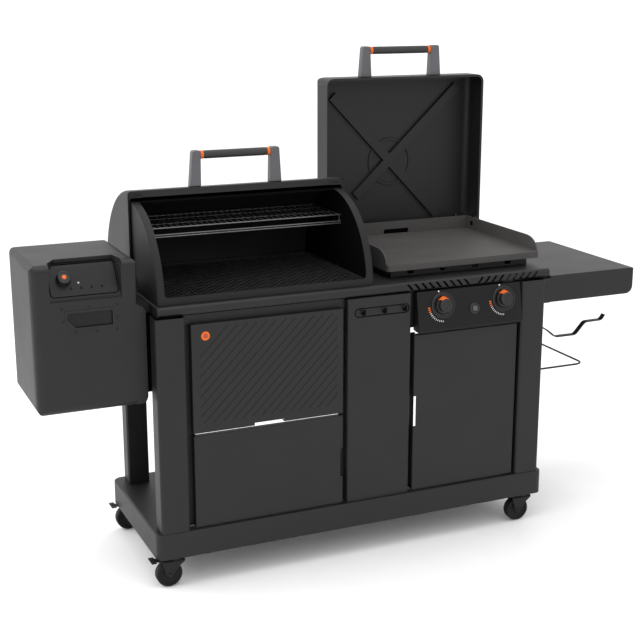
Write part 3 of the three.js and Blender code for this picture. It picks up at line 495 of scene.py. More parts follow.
def make_vents(front):
    """Two rows of slanted slots, each leaning away from the middle."""
    slots = []
    for first, last, way in VENT_ROWS:
        for i in range(VENTS.count):
            x = first + (last - first) * i / (VENTS.count - 1)
            half, lean = VENTS.width / 2, VENTS.lean / 2 * way
            slots.append(prism("y", [(x - half - lean, VENTS.low), (x + half - lean, VENTS.low),
                                     (x + half + lean, VENTS.high), (x - half + lean, VENTS.high)],
                               front - 4, front + FRAME_WALL + VENTS.depth))
    return merge(*slots)


def make_top_frame():
    x0, x1, y0, y1, z0, z1 = cad("top_frame")
    outer = prism("x", rounded(y0, y1, z0, z1, [FRAME_ROLL, FRAME_EDGE, FRAME_EDGE, FRAME_ROLL]), x0, x1)
    fillet(outer, FRAME_FILLET, lambda at, way: min(at.x - x0, x1 - at.x) < 0.1)
    under = rounded(y0 + FRAME_WALL, y1 - FRAME_WALL, z0 - 20, z1 - FRAME_WALL,
                    [0, 0, 2, FRAME_ROLL - FRAME_WALL])
    channel = prism("x", under, x0 + FRAME_WALL, x1 - FRAME_WALL)
    holes = []
    for node, (left, right, ends) in OPENINGS.items():
        a0, a1, b0, b1, _, _ = cad(node)
        hole = [a0 + left - OPENING_SLACK, a1 - right + OPENING_SLACK,
                b0 + ends - OPENING_SLACK, b1 - ends + OPENING_SLACK]
        holes.append(block(*hole, z0 - 1, z1 + 1))
        grown = [edge + FRAME_WALL * way for edge, way in zip(hole, (-1, 1, -1, 1))]
        channel = cut(channel, block(*grown, z0 - 30, z1 + 1))
    piece("top_frame_rail", cut(outer, channel, merge(*holes), make_vents(y0)), "top_frame")

    r = SHELF_RAIL
    rail = block(r.left, r.right, r.front, r.front + SHEET, r.low, z0 - GAP)
    foot = block(r.left, r.right, r.front, r.front + r.foot, r.low, r.low + SHEET)
    trim("shelf_hinge_rail", merge(rail, foot), "powder_coat", bevel=0.6)
    stops = [block(a, b, STOP_FRONT, STOP_FRONT + SHEET, low, high) for a, b, low, high in STOPS]
    trim("door_stops", merge(*stops), "powder_coat", bevel=0.5)


# ---- Front panels ----
DOOR_FILLET, PANEL_FILLET = 3, 6
NOTCH_DEPTH = 9
CENTER_WINDOW = Sizes(left=641, right=823, low=768, high=793, corner=11)
HOOKS = Sizes(x=(667, 738, 807), radius=4.2, low=776, tip=791, inset=1.2, reach=11)
SHELF_NOTCH, LEFT_NOTCH, RIGHT_NOTCH = (313, 408.5), (264, 357), (392, 491)
RIBS = Sizes(left=146, right=581, low=502, high=789, cut=80, pitch=30.1, width=6.5, depth=1.2)
BADGE = Sizes(x=165, z=764, radius=13.4)


def clip(outline, u, v, limit):
    """The part of a convex outline where u*x + v*z <= limit."""
    kept = []
    for a, b in zip(outline, outline[1:] + outline[:1]):
        da, db = u * a[0] + v * a[1] - limit, u * b[0] + v * b[1] - limit
        if da <= 0:
            kept.append(a)
        if da * db < 0:
            t = da / (da - db)
            kept.append((a[0] + (b[0] - a[0]) * t, a[1] + (b[1] - a[1]) * t))
    return kept


def stripes(field, low, high, pitch, width, lean):
    """Even diagonal bands across a convex field, leaning one way or the other, as outlines."""
    starts = [low + i * pitch for i in range(1, int((high - low) / pitch) + 1)]
    bands = [clip(clip(field, -lean, 1, start + width), lean, -1, -start) for start in starts]
    return [band for band in bands if len(band) > 2]


def rib_grooves(front):
    """Diagonal grooves over a field with its upper left corner cut off."""
    r = RIBS
    field = [(r.left, r.low), (r.right, r.low), (r.right, r.high),
             (r.left + r.cut, r.high), (r.left, r.high - r.cut)]
    bands = stripes(field, r.low - r.right, r.high - r.left, r.pitch, r.width, 1)
    return merge(*[prism("y", band, front - 1, front + r.depth) for band in bands])


def door_tray(node, notch):
    """A folded tray door: soft front edges, a hollow back and a finger notch through one of its edges."""
    x0, x1, y0, y1, z0, z1 = cad(node)
    skin = block(x0, x1, y0, y1, z0, z1)
    fillet(skin, DOOR_FILLET, lambda at, way: at.y < y0 + 1 or abs(way.y) > 0.9)
    hollow = block(x0 + SHEET, x1 - SHEET, y0 + SHEET, y1 + 1, z0 + SHEET, z1 - SHEET)
    a, b, low, high = notch(x0, x1, z0)
    return cut(skin, hollow, block(a, b, y0 - 1, y1 + 1, low, high))


def window_outline(inset=0):
    w = CENTER_WINDOW
    return rounded(w.left, w.right, w.low, w.high, w.corner, inset=inset)


def make_center_panel():
    x0, x1, y0, y1, z0, z1 = cad("center_panel")
    skin = block(x0, x1, y0, y1, z0, z1)
    fillet(skin, PANEL_FILLET, lambda at, way: at.y < y0 + 1 and abs(way.z) > 0.9)
    window = prism("y", window_outline(), y0 - 1, y0 + SHEET + 1)
    inside = block(x0 + SHEET, x1 - SHEET, y0 + SHEET, y1 + 1, z0 - 1, z1 - SHEET)
    piece("center_panel_skin", cut(skin, inside, window), "center_panel")
    # A thin black ring round the hook window: painted shade along the window's edge.
    rim = prism("y", window_outline(-2), y0 - 0.5, y0 + 0.5)
    trim("hook_window_shade_outline", cut(rim, prism("y", window_outline(), y0 - 3, y0 + 2)))

    hx0, hx1, _, hy1, hz0, hz1 = cad("hook_strip")
    h = HOOKS
    front = y0 + 1
    plate = prism("y", window_outline(h.inset), front, hy1 - SHEET)
    strip = block(hx0, hx1, hy1 - SHEET, hy1, hz0, hz1)
    piece("hook_strip_plate", merge(plate, strip), "hook_strip", bevel=0.4)
    tip = front - h.reach
    hooks = [tube(bent([(x, front + 1, h.low + 1), (x, tip, h.low), (x, tip, h.tip)], 6),
                  h.radius) for x in h.x]
    trim("three_hooks", merge(*hooks))


def make_shelf_and_doors():
    shelf = door_tray("front_shelf", lambda x0, x1, z0: (*SHELF_NOTCH, z0 - 1, z0 + NOTCH_DEPTH))
    front = cad("front_shelf")[2]
    piece("ribbed_front_shelf", cut(shelf, rib_grooves(front)), "front_shelf")
    r, spot = BADGE.radius, (BADGE.x, front, BADGE.z, 90)
    badge = lathe([(0, 1.6), (r * 0.62, 1.6), (r * 0.7, 2.4), (r * 0.9, 2.4), (r, 1.4), (r, -1), (0, -1)],
                  steps=40)
    trim("round_badge", placed(badge, *spot), "orange_enamel", "front_shelf")
    core = lathe([(0, 2.1), (r * 0.4, 2.1), (r * 0.5, 1.5), (0, 1.5)], steps=32)
    trim("round_badge_core", placed(core, *spot), "badge_core", "front_shelf")

    left = door_tray("left_door", lambda x0, x1, z0: (x1 - NOTCH_DEPTH, x1 + 1, *LEFT_NOTCH))
    piece("left_door_panel", left, "left_door")
    right = door_tray("right_door", lambda x0, x1, z0: (x0 - 1, x0 + NOTCH_DEPTH, *RIGHT_NOTCH))
    piece("right_door_panel", right, "right_door")


# ---- Smoker ----
LID_RADIUS, LID_EDGE, LID_LIP, LID_RIM = 285, 12, 20, 8
LID_CENTRE = (0, 281, 866)
LID_PLATE = Sizes(width=44, low=21, high=4, screw=12.5)
BARREL_Y, BARREL_Z, BARREL_RADIUS = 298, 857, 262
BARREL_INSIDE = (36, 710)
SHELL_ARC, BOW_ARC = (0.2, 92), (92.2, 179.8)
MOUTH = Sizes(border=20, strip=22, back=284, fillet=10)
# A black band over the barrel's top, under the lid's lip: painted shade.
MOUTH_SHADE = Sizes(inner=0.3, outer=1.1, start=77, end=93, overlap=8)
PIVOT_Y, PIVOT_Z = 293, 870.9
LINER = Sizes(gap=0.3, sheet=0.6)


def arc_band(inner, outer, start, end, steps):
    """A curved band's outline about the barrel's axis, as (y, z)."""
    axis = BARREL_Y, BARREL_Z
    return arc(*axis, outer, start, end, steps) + arc(*axis, inner, end, start, steps)


def barrel_sheet(start, end, x0, x1):
    return prism("x", arc_band(BARREL_RADIUS - SHEET, BARREL_RADIUS, start, end, 48), x0, x1)


def make_barrel():
    x0, x1, _, _, _, _ = cad("smoker_shell")
    piece("barrel_rear_shell", barrel_sheet(*SHELL_ARC, x0, x1), "smoker_shell", bevel=0.4, segments=1)
    bow = barrel_sheet(*BOW_ARC, x0, x1)
    mouth = block(x0 + MOUTH.border, x1 - MOUTH.border, BARREL_Y - BARREL_RADIUS - 5, MOUTH.back,
                  BARREL_Z + MOUTH.strip, BARREL_Z + BARREL_RADIUS + 5)
    fillet(mouth, MOUTH.fillet, lambda at, way: abs(way.y) > 0.9)
    piece("barrel_mouth_frame", cut(bow, mouth), "opening_frame")
    for side, inner, way in (("left", BARREL_INSIDE[0], -1), ("right", BARREL_INSIDE[1], 1)):
        ex0, ex1, _, _, ez0, _ = cad("smoker_end_" + side)
        half = arc(BARREL_Y, ez0, BARREL_RADIUS, 0, 180, 72)
        plate = prism("x", half, min(inner, inner + way * SHEET), max(inner, inner + way * SHEET))
        reach = abs((ex0 if way < 0 else ex1) - inner)
        bolt = lathe([(0, -1), (6, -1), (6, reach - 5), (11, reach - 5), (11, reach - 3), (8, reach),
                      (0, reach)], steps=24)
        placed(bolt, inner, PIVOT_Y, PIVOT_Z, 90 * way, "Y")
        piece(f"barrel_end_{side}", merge(plate, bolt), "smoker_end_" + side, bevel=0.5)


def make_liners():
    """Black skins inside the barrel's two ends, painted shade of its inside, and a black band along the top
    of its mouth, painted shade under the lid's lip.
    """
    half = arc(BARREL_Y, BARREL_Z + 1, BARREL_RADIUS - SHEET - 1, 0, 180, 64)
    skins = [prism("x", half, a, a + LINER.sheet) for a in (
        BARREL_INSIDE[0] + LINER.gap, BARREL_INSIDE[1] - LINER.gap - LINER.sheet)]
    # Black skins as painted shade inside the barrel's ends.
    trim("barrel_painted_shade_liner", merge(*skins))
    # A black band and lip as painted shade under the lid's lip.
    band = arc_band(BARREL_RADIUS + MOUTH_SHADE.inner, BARREL_RADIUS + MOUTH_SHADE.outer, MOUTH_SHADE.start, MOUTH_SHADE.end, 12)
    left = BARREL_INSIDE[0] + MOUTH.border - MOUTH_SHADE.overlap
    right = BARREL_INSIDE[1] - MOUTH.border + MOUTH_SHADE.overlap
    top = BARREL_Z + BARREL_RADIUS
    lip = block(left, right, MOUTH.back - 1.4, MOUTH.back - 0.3, top - 6, top + 1)
    trim("mouth_top_painted_shade", merge(prism("x", band, left, right), lip))


def drum_section(x0, x1, inset):
    """The lid's drum from one end's centre to the other's, as (radius, x), at a depth inside its outside."""
    left, right, rim, edge = x0 + inset, x1 - inset, LID_RADIUS - inset, LID_EDGE - inset
    turns = [radians(90 * i / 5) for i in range(6)]
    rise = [(rim - edge + edge * sin(a), left + edge - edge * cos(a)) for a in turns]
    fall = [(rim - edge + edge * cos(a), right - edge + edge * sin(a)) for a in turns]
    return [(0, left), *rise, *fall, (0, right)]


def make_smoker_lid():
    x0, x1, _, _, z0, _ = cad("smoker_lid")
    wall = drum_section(x0, x1, 0) + drum_section(x0, x1, SHEET)[::-1]
    drum = lathe(wall, "x", LID_CENTRE, steps=44, closed=True, turn=(0, 90))
    _, y, z = LID_CENTRE
    top = z + LID_RADIUS
    lip = block(x0 + 4, x1 - 4, y, y + SHEET, top - LID_LIP, top - 2)
    rims = [block(a, a + LID_RIM, y, y + SHEET, z0, top - 6) for a in (x0 + 1, x1 - 1 - LID_RIM)]
    skirts = [block(a, a + SHEET, PIVOT_Y - 3, y + 90, z0, z + 1) for a in (x0, x1 - SHEET)]
    piece("quarter_drum_lid", merge(drum, lip, *rims, *skirts), "smoker_lid")
    p = LID_PLATE
    plates = [prism("y", rounded(a, a + p.width, top - p.low, top - p.high, 6), y - 1.2, y)
              for a in (x0 + 4, x1 - 4 - p.width)]
    trim("lid_corner_plates", merge(*plates), "barrel_paint", "smoker_lid", bevel=0.4)
    heads = [(x, y + 0.7, top - p.screw) for x in (x0 + 21, x0 + 33, x1 - 33, x1 - 21)]
    screws("lid_corner_screws", heads, "smoker_lid", "black_and_painted_shade", 3.8)
    # Black strips down the front of the lid's sides: painted shade of the gap between lid and barrel.
    shade_strips = [block(a, a + 4, y - 1.3, y, z0 + 4, top - 24) for a in (x0 + 4.8, x1 - 8.8)]
    trim("lid_side_shade_strips", merge(*shade_strips), body="smoker_lid")


RING_WIDTH, GRIP_WAIST = 9, 0.9


def make_handle(name):
    """Two tapered posts, a round grip and a coloured ring at each of its ends."""
    for side in ("left", "right"):
        dress(f"{name}_post_{side}", bevel=3.0, segments=3)
    x0, x1, y0, y1, z0, z1 = cad(name + "_grip")
    radius, ring, length = (z1 - z0) / 2, RING_WIDTH, x1 - x0
    y, z = (y0 + y1) / 2, (z0 + z1) / 2
    waist = radius - GRIP_WAIST
    profile = [(0, ring), (waist, ring), (waist, ring + 3), (radius, ring + 6), (radius, length - ring - 6),
               (waist, length - ring - 3), (waist, length - ring), (0, length - ring)]
    piece(name + "_bar", lathe(profile, "x", (x0, y, z), 36), name + "_grip")
    edge = [(0, 0), (radius, 0), (radius + 0.4, 1.5), (radius + 0.4, ring - 1.5), (radius, ring), (0, ring)]
    rings = [lathe(edge, "x", (a, y, z), 36) for a in (x0, x1 - ring)]
    trim(name + "_rings", merge(*rings), "orange_enamel", BODY_OF[name + "_grip"])


GRATE = Sizes(border=12, corner=10, pitch=26, strand=5.2, thick=1.7, drops=((4.2, 1), (2.6, -1)))
RACK = Sizes(rail=2.1, wire=1.35, count=34, rows=(0.22, 0.6), pair=6.6, drop=27, side=6)


def lattice(x0, x1, y0, y1, z, lean):
    """Parallel flat bars across a rectangle, leaning one way or the other."""
    field = [(x0, y0), (x1, y0), (x1, y1), (x0, y1)]
    low, high = (y0 - x1, y1 - x0) if lean > 0 else (y0 + x0, y1 + x1)
    bands = stripes(field, low, high, GRATE.pitch, GRATE.strand, lean)
    return merge(*[prism("z", band, z, z + GRATE.thick) for band in bands])


def make_cooking_grate():
    x0, x1, y0, y1, z0, z1 = cad("cooking_grate")
    edge, corner = GRATE.border, GRATE.corner
    border = cut(prism("z", rounded(x0, x1, y0, y1, corner), z0, z1),
                 prism("z", rounded(x0 + edge, x1 - edge, y0 + edge, y1 - edge, corner - 4), z0 - 1, z1 + 1))
    edge -= 2
    strands = [lattice(x0 + edge, x1 - edge, y0 + edge, y1 - edge, z1 - drop, lean)
               for drop, lean in GRATE.drops]
    piece("diamond_cooking_grate", merge(border, *strands), "cooking_grate")


def make_warming_rack():
    x0, x1, y0, y1, _, z1 = cad("warming_rack")
    rail, wire, count = RACK.rail, RACK.wire, RACK.count
    top = z1 - rail - 0.4
    low = top - RACK.drop
    front, under = y0 + rail, top - rail - wire + 0.4
    rails = [tube([(x0, y, z), (x1, y, z)], rail) for y, z in (
        (front, top), (front, low), (front, low + RACK.pair), (y1 - rail, top))]
    rails += [tube([(x0, y, under), (x1, y, under)], wire) for y in (
        y1 - (y1 - y0) * share for share in RACK.rows)]
    for i in range(count + 1):
        x = x0 + RACK.side + (x1 - x0 - 2 * RACK.side) * i / count
        reach = low if i in (0, count) else top - 1
        path = bent([(x, y1 - rail, top + 1), (x, front, top + 1), (x, front, reach)], 5, 4)
        rails.append(tube(path, wire, 8))
        if i % 2:
            rails.append(tube([(x, front, low), (x, front, low + RACK.pair)], wire, 8))
    piece("wire_warming_rack", merge(*rails), "warming_rack")


HOUSING = Sizes(left=-14.5, right=108.5, front=100, back=400, low=588, high=825.5)
AUGER = Sizes(shaft=6, half=1.2, pitch=44, steps=20, end=10)


def make_feed():
    h = HOUSING
    box = block(h.left, h.right, h.front, h.back, h.low, h.high)
    hollow = block(h.left - 1, h.right + 1, h.front + SHEET, h.back - SHEET,
                   h.low + SHEET, h.high + 1)
    trim("feed_housing", cut(box, hollow), bevel=0.8)
    for node in ("smoker_tub", "heat_baffle"):
        dress(node, 0.8, finish="black_and_painted_shade")
    for node, bevel in (("fire_pot", 0.8), ("auger_tube", 0.6), ("auger_motor", 2.0)):
        dress(node, bevel)


def make_auger():
    x0, x1, y0, y1, z0, z1 = cad("auger_screw")
    y, z = (y0 + y1) / 2, (z0 + z1) / 2
    outer, root, half = (z1 - z0) / 2, AUGER.shaft - 1, AUGER.half
    first, last = x0 + AUGER.end, x1 - AUGER.end
    steps = int((last - first) / AUGER.pitch * AUGER.steps)
    rings = []
    for i in range(steps + 1):
        x = first + (last - first) * i / steps
        angle = tau * (x - first) / AUGER.pitch
        way = Vector((0, cos(angle), sin(angle)))
        rings.append([Vector((x + dx, y, z)) + way * radius for radius, dx in (
            (root, -half), (outer, -half * 0.6), (outer, half * 0.6), (root, half))])
    core = rod(AUGER.shaft, 0, x1 - x0, "x", (x0, y, z))
    piece("auger_helix", merge(core, loft(rings)), "auger_screw")


# ---- Hopper ----
HOPPER_RIGHT, HOPPER_TOP = -15.0, 997.0
HOPPER_WALL, HOPPER_SPLIT, BIN_FLOOR = 4, 981, 712
PLAN_RADII, FACE_RADII, SIDE_RADII = (30, 12, 8, 14), (30, 26, 22, 20), (30, 12, 8, 24)
CONSOLE = Sizes(left=-265, right=-62, low_y=62, low_z=899, high_y=128, plate=4, slope=1.433)
CONSOLE_TILT = degrees(atan(CONSOLE.slope))
CONSOLE_LENGTH = (CONSOLE.high_y - CONSOLE.low_y) / cos(radians(CONSOLE_TILT))
PANE = [(-196, 815), (-91, 815), (-91, 857), (-218, 857), (-218, 838)]
SURROUND = [(-204, 807), (-84, 807), (-84, 865), (-225, 865), (-225, 833)]
WINDOW_SCREWS = [(-233, 872), (-157, 872), (-77, 871), (-77, 835), (-78, 800), (-136, 799), (-196, 801),
                 (-231, 835)]
FLANGE = Sizes(out=4.7, thick=3, screw_x=-3, screws=(842, 739, 617))
BRACKET = (26.7, 95, 340, 829, 852)
HATCH = Sizes(left=-270, right=-60, low=590, high=680)
FEED_SLOT = Sizes(left=-150, right=-70, half=22)
FEED_BORE = Sizes(y=298, z=679, radius=28.5)
LID_NOTCH = [(-262, 0), (-262, 92), (-233, 140), (-66, 140), (-58, 92), (-58, 0)]
KNUCKLES = Sizes(x=(-270, -94), radius=4, length=34)
DIAL_Y, DIAL_HEIGHT, DIAL_FLUTES = 95.7, 20, 18
LAMP_PLACE, JACKS_X, JACKS_Y = (-176.5, 88), (-200, -170.5, -142, -113), 79


def hopper_box():
    """The whole hopper's box without its flange and bracket: x0, x1, y0, y1, z0, z1."""
    x0, _, y0, y1, z0, _ = cad("hopper_body")
    return x0, HOPPER_RIGHT, y0, y1, z0, HOPPER_TOP


def hopper_block(inset):
    x0, x1, y0, y1, z0, z1 = (v + inset * s for v, s in zip(hopper_box(), (1, -1) * 3))

    def outline(u0, u1, v0, v1, radii):
        return rounded(u0, u1, v0, v1, [max(radius - inset, 1) for radius in radii])

    plan = prism("z", outline(x0, x1, y0, y1, PLAN_RADII), z0, z1)
    face = prism("y", outline(x0, x1, z0, z1, FACE_RADII), y0, y1)
    side = prism("x", outline(y0, y1, z0, z1, SIDE_RADII), x0, x1)
    return common(plan, face, side)


def console_at(y):
    return CONSOLE.low_z + (y - CONSOLE.low_y) * CONSOLE.slope


def console_profile(depth):
    """The space above the sloping console, from a depth below its face, as (y, z)."""
    drop = depth / cos(radians(CONSOLE_TILT))
    low, high = (console_at(y) - drop for y in (CONSOLE.low_y, CONSOLE.high_y))
    return [(40, low), (CONSOLE.low_y, low), (CONSOLE.high_y, high), (CONSOLE.high_y, 1100), (40, 1100)]


def on_console(bm, x, y):
    return placed(bm, x, y, console_at(y), CONSOLE_TILT)


def make_hopper():
    x0, x1, y0, y1, z0, z1 = hopper_box()
    wall, back = HOPPER_WALL, CONSOLE.high_y + HOPPER_WALL

    def slab(front, low, high):
        return block(x0 - 50, x1 + 50, front, y1 + 50, low, high)

    def within(inset, front, low, high):
        """The part of the hopper's block behind a front plane and between two levels."""
        return common(slab(front, low, high), hopper_block(inset))

    out = FLANGE.out
    edge = [(x1 - 14, 569), (x1 + 6, 569), (0, 576), (out, 588), (out, 846), (-4, 856), (x1 - 14, 870)]
    flange = prism("y", edge, y0, y0 + FLANGE.thick)
    shell = common(hopper_block(0), slab(0, z0 - 50, HOPPER_SPLIT))
    behind = prism("x", [(60, 700), (126, 700), (126, 970), (68.5, 886), (60, 884)], x0 + 8, x1 - wall)
    slot, bore = FEED_SLOT, FEED_BORE
    body = cut(
        join(shell, flange, block(x1 - 3, *BRACKET)),
        within(wall, back, BIN_FLOOR, z1 - wall),
        block(x0 + 25, x1 - 15, back, y1 - 15, HOPPER_SPLIT - 20, z1 + 50),
        within(wall, 0, z0 - 50, BIN_FLOOR - wall),
        common(behind, hopper_block(wall)),
        block(HATCH.left, HATCH.right, y1 - 10, y1 + 5, HATCH.low, HATCH.high),
        block(slot.left, slot.right, bore.y - slot.half, bore.y + slot.half,
              BIN_FLOOR - 10, BIN_FLOOR + 1),
        rod(bore.radius, 0, 50, "x", (x1 - 10, bore.y, bore.z), 32),
        prism("y", PANE, 40, 70),
        prism("x", console_profile(CONSOLE.plate + GAP), CONSOLE.left, CONSOLE.right))
    piece("hopper_shell", body, "hopper_body")

    cap = common(hopper_block(0), slab(0, HOPPER_SPLIT + GAP, z1 + 50))
    piece("hopper_lid_cap", cut(cap, prism("z", LID_NOTCH, 900, 1100)), "hopper_lid")
    k = KNUCKLES
    knuckles = [rod(k.radius, 0, k.length, "x", (x, y1 - 1, HOPPER_SPLIT), 16) for x in k.x]
    trim("hopper_lid_knuckles", merge(*knuckles), "wire_black", bevel=0.5)
    dress("hopper_window", 1.0)
    surround = cut(prism("y", SURROUND, y0 - 1.4, y0 + 1), prism("y", PANE, y0 - 4, y0 + 4))
    trim("window_surround", surround, "powder_coat", bevel=0.5)
    screws("hopper_window_screws", [(x, y0, z) for x, z in WINDOW_SCREWS], radius=3)
    screws("hopper_flange_screws", [(FLANGE.screw_x, y0, z) for z in FLANGE.screws], radius=3.6)


def flute(bm, count, depth, reach, levels, power=1):
    """Presses even flutes into a turned knob's side, beyond a radius and between two levels."""
    for vert in bm.verts:
        if levels[0] < vert.co.z < levels[1] and vert.co.xy.length > reach:
            wave = max(0, cos(count * atan2(vert.co.y, vert.co.x)))
            vert.co.xy *= 1 - depth * wave ** power
    return bm


def make_console():
    dress("controller_panel", 0.8)
    c = CONSOLE
    middle = ((c.left + c.right) / 2, (c.low_y + c.high_y) / 2)
    half, run = (c.right - c.left) / 2, CONSOLE_LENGTH / 2
    outer = rounded(-half + 4, half - 4, -run + 5, run - 4, 13)
    inner = rounded(-half + 7, half - 7, -run + 8, run - 7, 10)
    trim("console_rim", on_console(cut(prism("z", outer, -0.5, 0.4), prism("z", inner, -2, 3)), *middle))

    kx0, kx1, _, _, _, _ = cad("hopper_knob")
    spot, radius, height = ((kx0 + kx1) / 2, DIAL_Y), (kx1 - kx0) / 2, DIAL_HEIGHT
    knob = lathe([(0, height - 1.5), (radius - 7, height - 1.5), (radius - 6, height), (radius - 4, height),
                  (radius - 2.4, height - 1.5), (radius, 4), (radius, 0.5), (0, 0.5)], steps=72)
    flute(knob, DIAL_FLUTES, 0.035, radius - 3, (1, height - 1))
    piece("hopper_knob_dial", on_console(knob, *spot), "hopper_knob")
    mark = lathe([(0, height - 0.6), (5.5, height - 0.6), (6.5, height - 1.4), (0, height - 2)], steps=28)
    trim("hopper_knob_mark", on_console(mark, *spot), "orange_enamel", "hopper_knob")
    lamp = lathe([(0, 2), (2, 1.6), (3, 0.6), (3, -1), (0, -1)], steps=24)
    trim("console_lamp", on_console(lamp, *LAMP_PLACE), "lamp_lens")
    socket = [(0, -0.2), (1.8, -0.2), (2, 0.5), (3.4, 0.5), (4, -1), (0, -1)]
    trim("probe_jacks", merge(*[on_console(lathe(socket, steps=28), x, JACKS_Y) for x in JACKS_X]))


# ---- Griddle ----
PLATE = Sizes(wall=4, floor=901, under=893, skirt=881, corner=10)
FEET = Sizes(inset=18, y=(135, 515))
GREASE_SLOT = Sizes(left=1002, right=1098, height=17, side=6)
EMBOSS = Sizes(depth=12, width=30, slope=2, centre=(1060, 1142), radius=78, ring=4,
               bars=[((838, 1374), (1255, 939)), ((1316, 1394), (927, 1029))])
WALL_BOLT = Sizes(radius=8, height=4, back=42, rise=22)
HOOD = Sizes(corner=26, edge=24, fold=8)
CLIP = Sizes(inset=30, length=24, front=3, back=17)


def make_burners():
    for node in ("burner_box", "griddle_hinge_rod", "grease_cup", "gas_manifold"):
        dress(node, 1.0 if node == "griddle_hinge_rod" else 0.8)
    for side in ("left", "right"):
        dress("burner_" + side, 5.0, 4)


def bezier(points, steps):
    a, b, c, d = (Vector(point) for point in points)
    shares = [i / steps for i in range(steps + 1)]
    return [tuple(a * (1 - t) ** 3 + b * 3 * t * (1 - t) ** 2 + c * 3 * t * t * (1 - t) + d * t ** 3)
            for t in shares]


def make_griddle():
    x0, x1, y0, y1, z0, rim = cad("griddle_plate")
    wall, floor, under = PLATE.wall, PLATE.floor, PLATE.under
    plan = rounded(x0, x1, y0, y1, [PLATE.corner, PLATE.corner, 0, 0])
    slab = prism("z", plan, under, floor)
    hollow = block(x0 + wall, x1 - wall, y0 + wall, y1 - wall, PLATE.skirt - 1, floor + 1)
    band = cut(prism("z", plan, PLATE.skirt, floor), hollow)
    start = y0 + PLATE.corner + 2
    curve = bezier([(y0 + 84, rim), (y0 + 46, rim), (y0 + 20, rim - 12), (start, floor + 2)], 24)
    outline = [(start, floor - 2), (y1, floor - 2), (y1, rim)] + curve
    sides = [prism("x", outline, x, x + wall) for x in (x0, x1 - wall)]
    rear = block(x0, x1, y1 - wall, y1, floor - 1, rim)
    bx0, bx1, _, _, _, _ = cad("burner_box")
    foot = [(0, z0), (9, z0), (10, z0 + 2), (10, under + 1), (0, under + 1)]
    feet = [lathe(foot, "z", (x, y, 0), 20) for x in (bx0 + FEET.inset, bx1 - FEET.inset) for y in FEET.y]
    body = join(slab, band, *sides, rear, *feet)
    grease = GREASE_SLOT
    mouth = rounded(grease.left, grease.right, floor + 1, floor + grease.height, 5)
    slot = prism("y", mouth, y1 - 10, y1 + 5)
    piece("griddle_top_plate", cut(body, slot), "griddle_plate", bevel=0.7)

    left, right = grease.left - grease.side, grease.right + grease.side
    low, high, near, back = floor - 16, floor + 24, y1 + 0.5, y1 + 20
    tray = prism("x", [(near, floor - 3), (y1 + 12, low), (back, low), (back, low + 2), (y1 + 13, low + 2),
                       (near, floor - 1)], left, right)
    walls = [block(x, x + 1.5, near, back, low, high) for x in (left, right - 1.5)]
    end = block(left, right, back - 1.5, back, low, high)
    trim("grease_chute", merge(tray, end, *walls), bevel=0.3)
    b = WALL_BOLT
    bolt = placed(screw(b.radius, b.height), x1 - wall, y1 - b.back, floor + b.rise, -90, "Y")
    trim("griddle_wall_bolt", bolt)


def hood_solid(inset, front, low, back):
    x0, x1, _, _, _, z1 = cad("griddle_lid")
    x0, x1, top, corner, edge = x0 + inset, x1 - inset, z1 - inset, HOOD.corner - inset, HOOD.edge - inset
    face = prism("y", rounded(x0, x1, low, top, [0, 0, corner, corner]), front, back)
    plan = prism("z", rounded(x0, x1, front, back, [0, 0, edge, edge]), low, z1)
    side = prism("x", rounded(front, back, low, top, [0, 0, edge, 0]), x0, x1)
    return common(face, plan, side)


def bar_outline(start, end, width):
    """A bar's rectangle. A wider one is longer too, so that its walls lean in at the ends as well."""
    a, b = Vector(start), Vector(end)
    along = (b - a).normalized()
    across = Vector((-along.y, along.x)) * width / 2
    reach = along * (width - EMBOSS.width) / 2
    corners = [a - reach + across, b + reach + across, b + reach - across, a - reach - across]
    return [(p.x, p.y) for p in corners]


def pressed(level, deeper, width):
    """The pressed cross and ring, narrowing from one plane to another, as a list of solids."""
    solids = [prism("y", bar_outline(*bar, width), level, deeper, bar_outline(*bar, width - EMBOSS.slope))
              for bar in EMBOSS.bars]
    x, z = EMBOSS.centre
    half = EMBOSS.ring + (width - EMBOSS.width) / 2
    inner, outer = EMBOSS.radius - half, EMBOSS.radius + half
    shallow = level + (deeper - level) * 0.3
    ring = [(inner, level), (outer, level), (outer - 2, shallow), (inner + 2, shallow)]
    return solids + [lathe(ring, "y", (x, 0, z), 72, closed=True)]


def make_griddle_lid():
    x0, x1, front, back, low, z1 = cad("griddle_lid")
    panel = back - SHEET
    shell = cut(hood_solid(0, front, low, back), hood_solid(SHEET, front - 1, low - 1, panel))
    shell = join(shell, *pressed(panel + 0.5, panel - EMBOSS.depth, EMBOSS.width + 2 * SHEET))
    shell = cut(shell, *pressed(back + 0.5, back - EMBOSS.depth, EMBOSS.width))
    piece("griddle_box_lid", shell, "griddle_lid")
    corner, fold = HOOD.corner, HOOD.fold
    outer = rounded(x0 + 1, x1 - 1, low, z1 - 1, [0, 0, corner - 1, corner - 1])
    inner = rounded(x0 + SHEET * 2, x1 - fold, low - 1, z1 - fold, [0, 0, corner - fold, corner / 2 - 1])
    hem = cut(prism("y", outer, front + 0.2, front + SHEET), prism("y", inner, front - 1, front + SHEET + 1))
    trim("griddle_lid_hem", hem, "powder_coat", "griddle_lid", 0.5)
    top, c = z1 - SHEET, CLIP
    clips = [prism("z", rounded(x, x + c.length, front + c.front, front + c.back, 3), top - 1.2, top)
             for x in (x0 + c.inset, x1 - c.inset - c.length)]
    trim("griddle_lid_clips", merge(*clips), "powder_coat", "griddle_lid", 0.4)


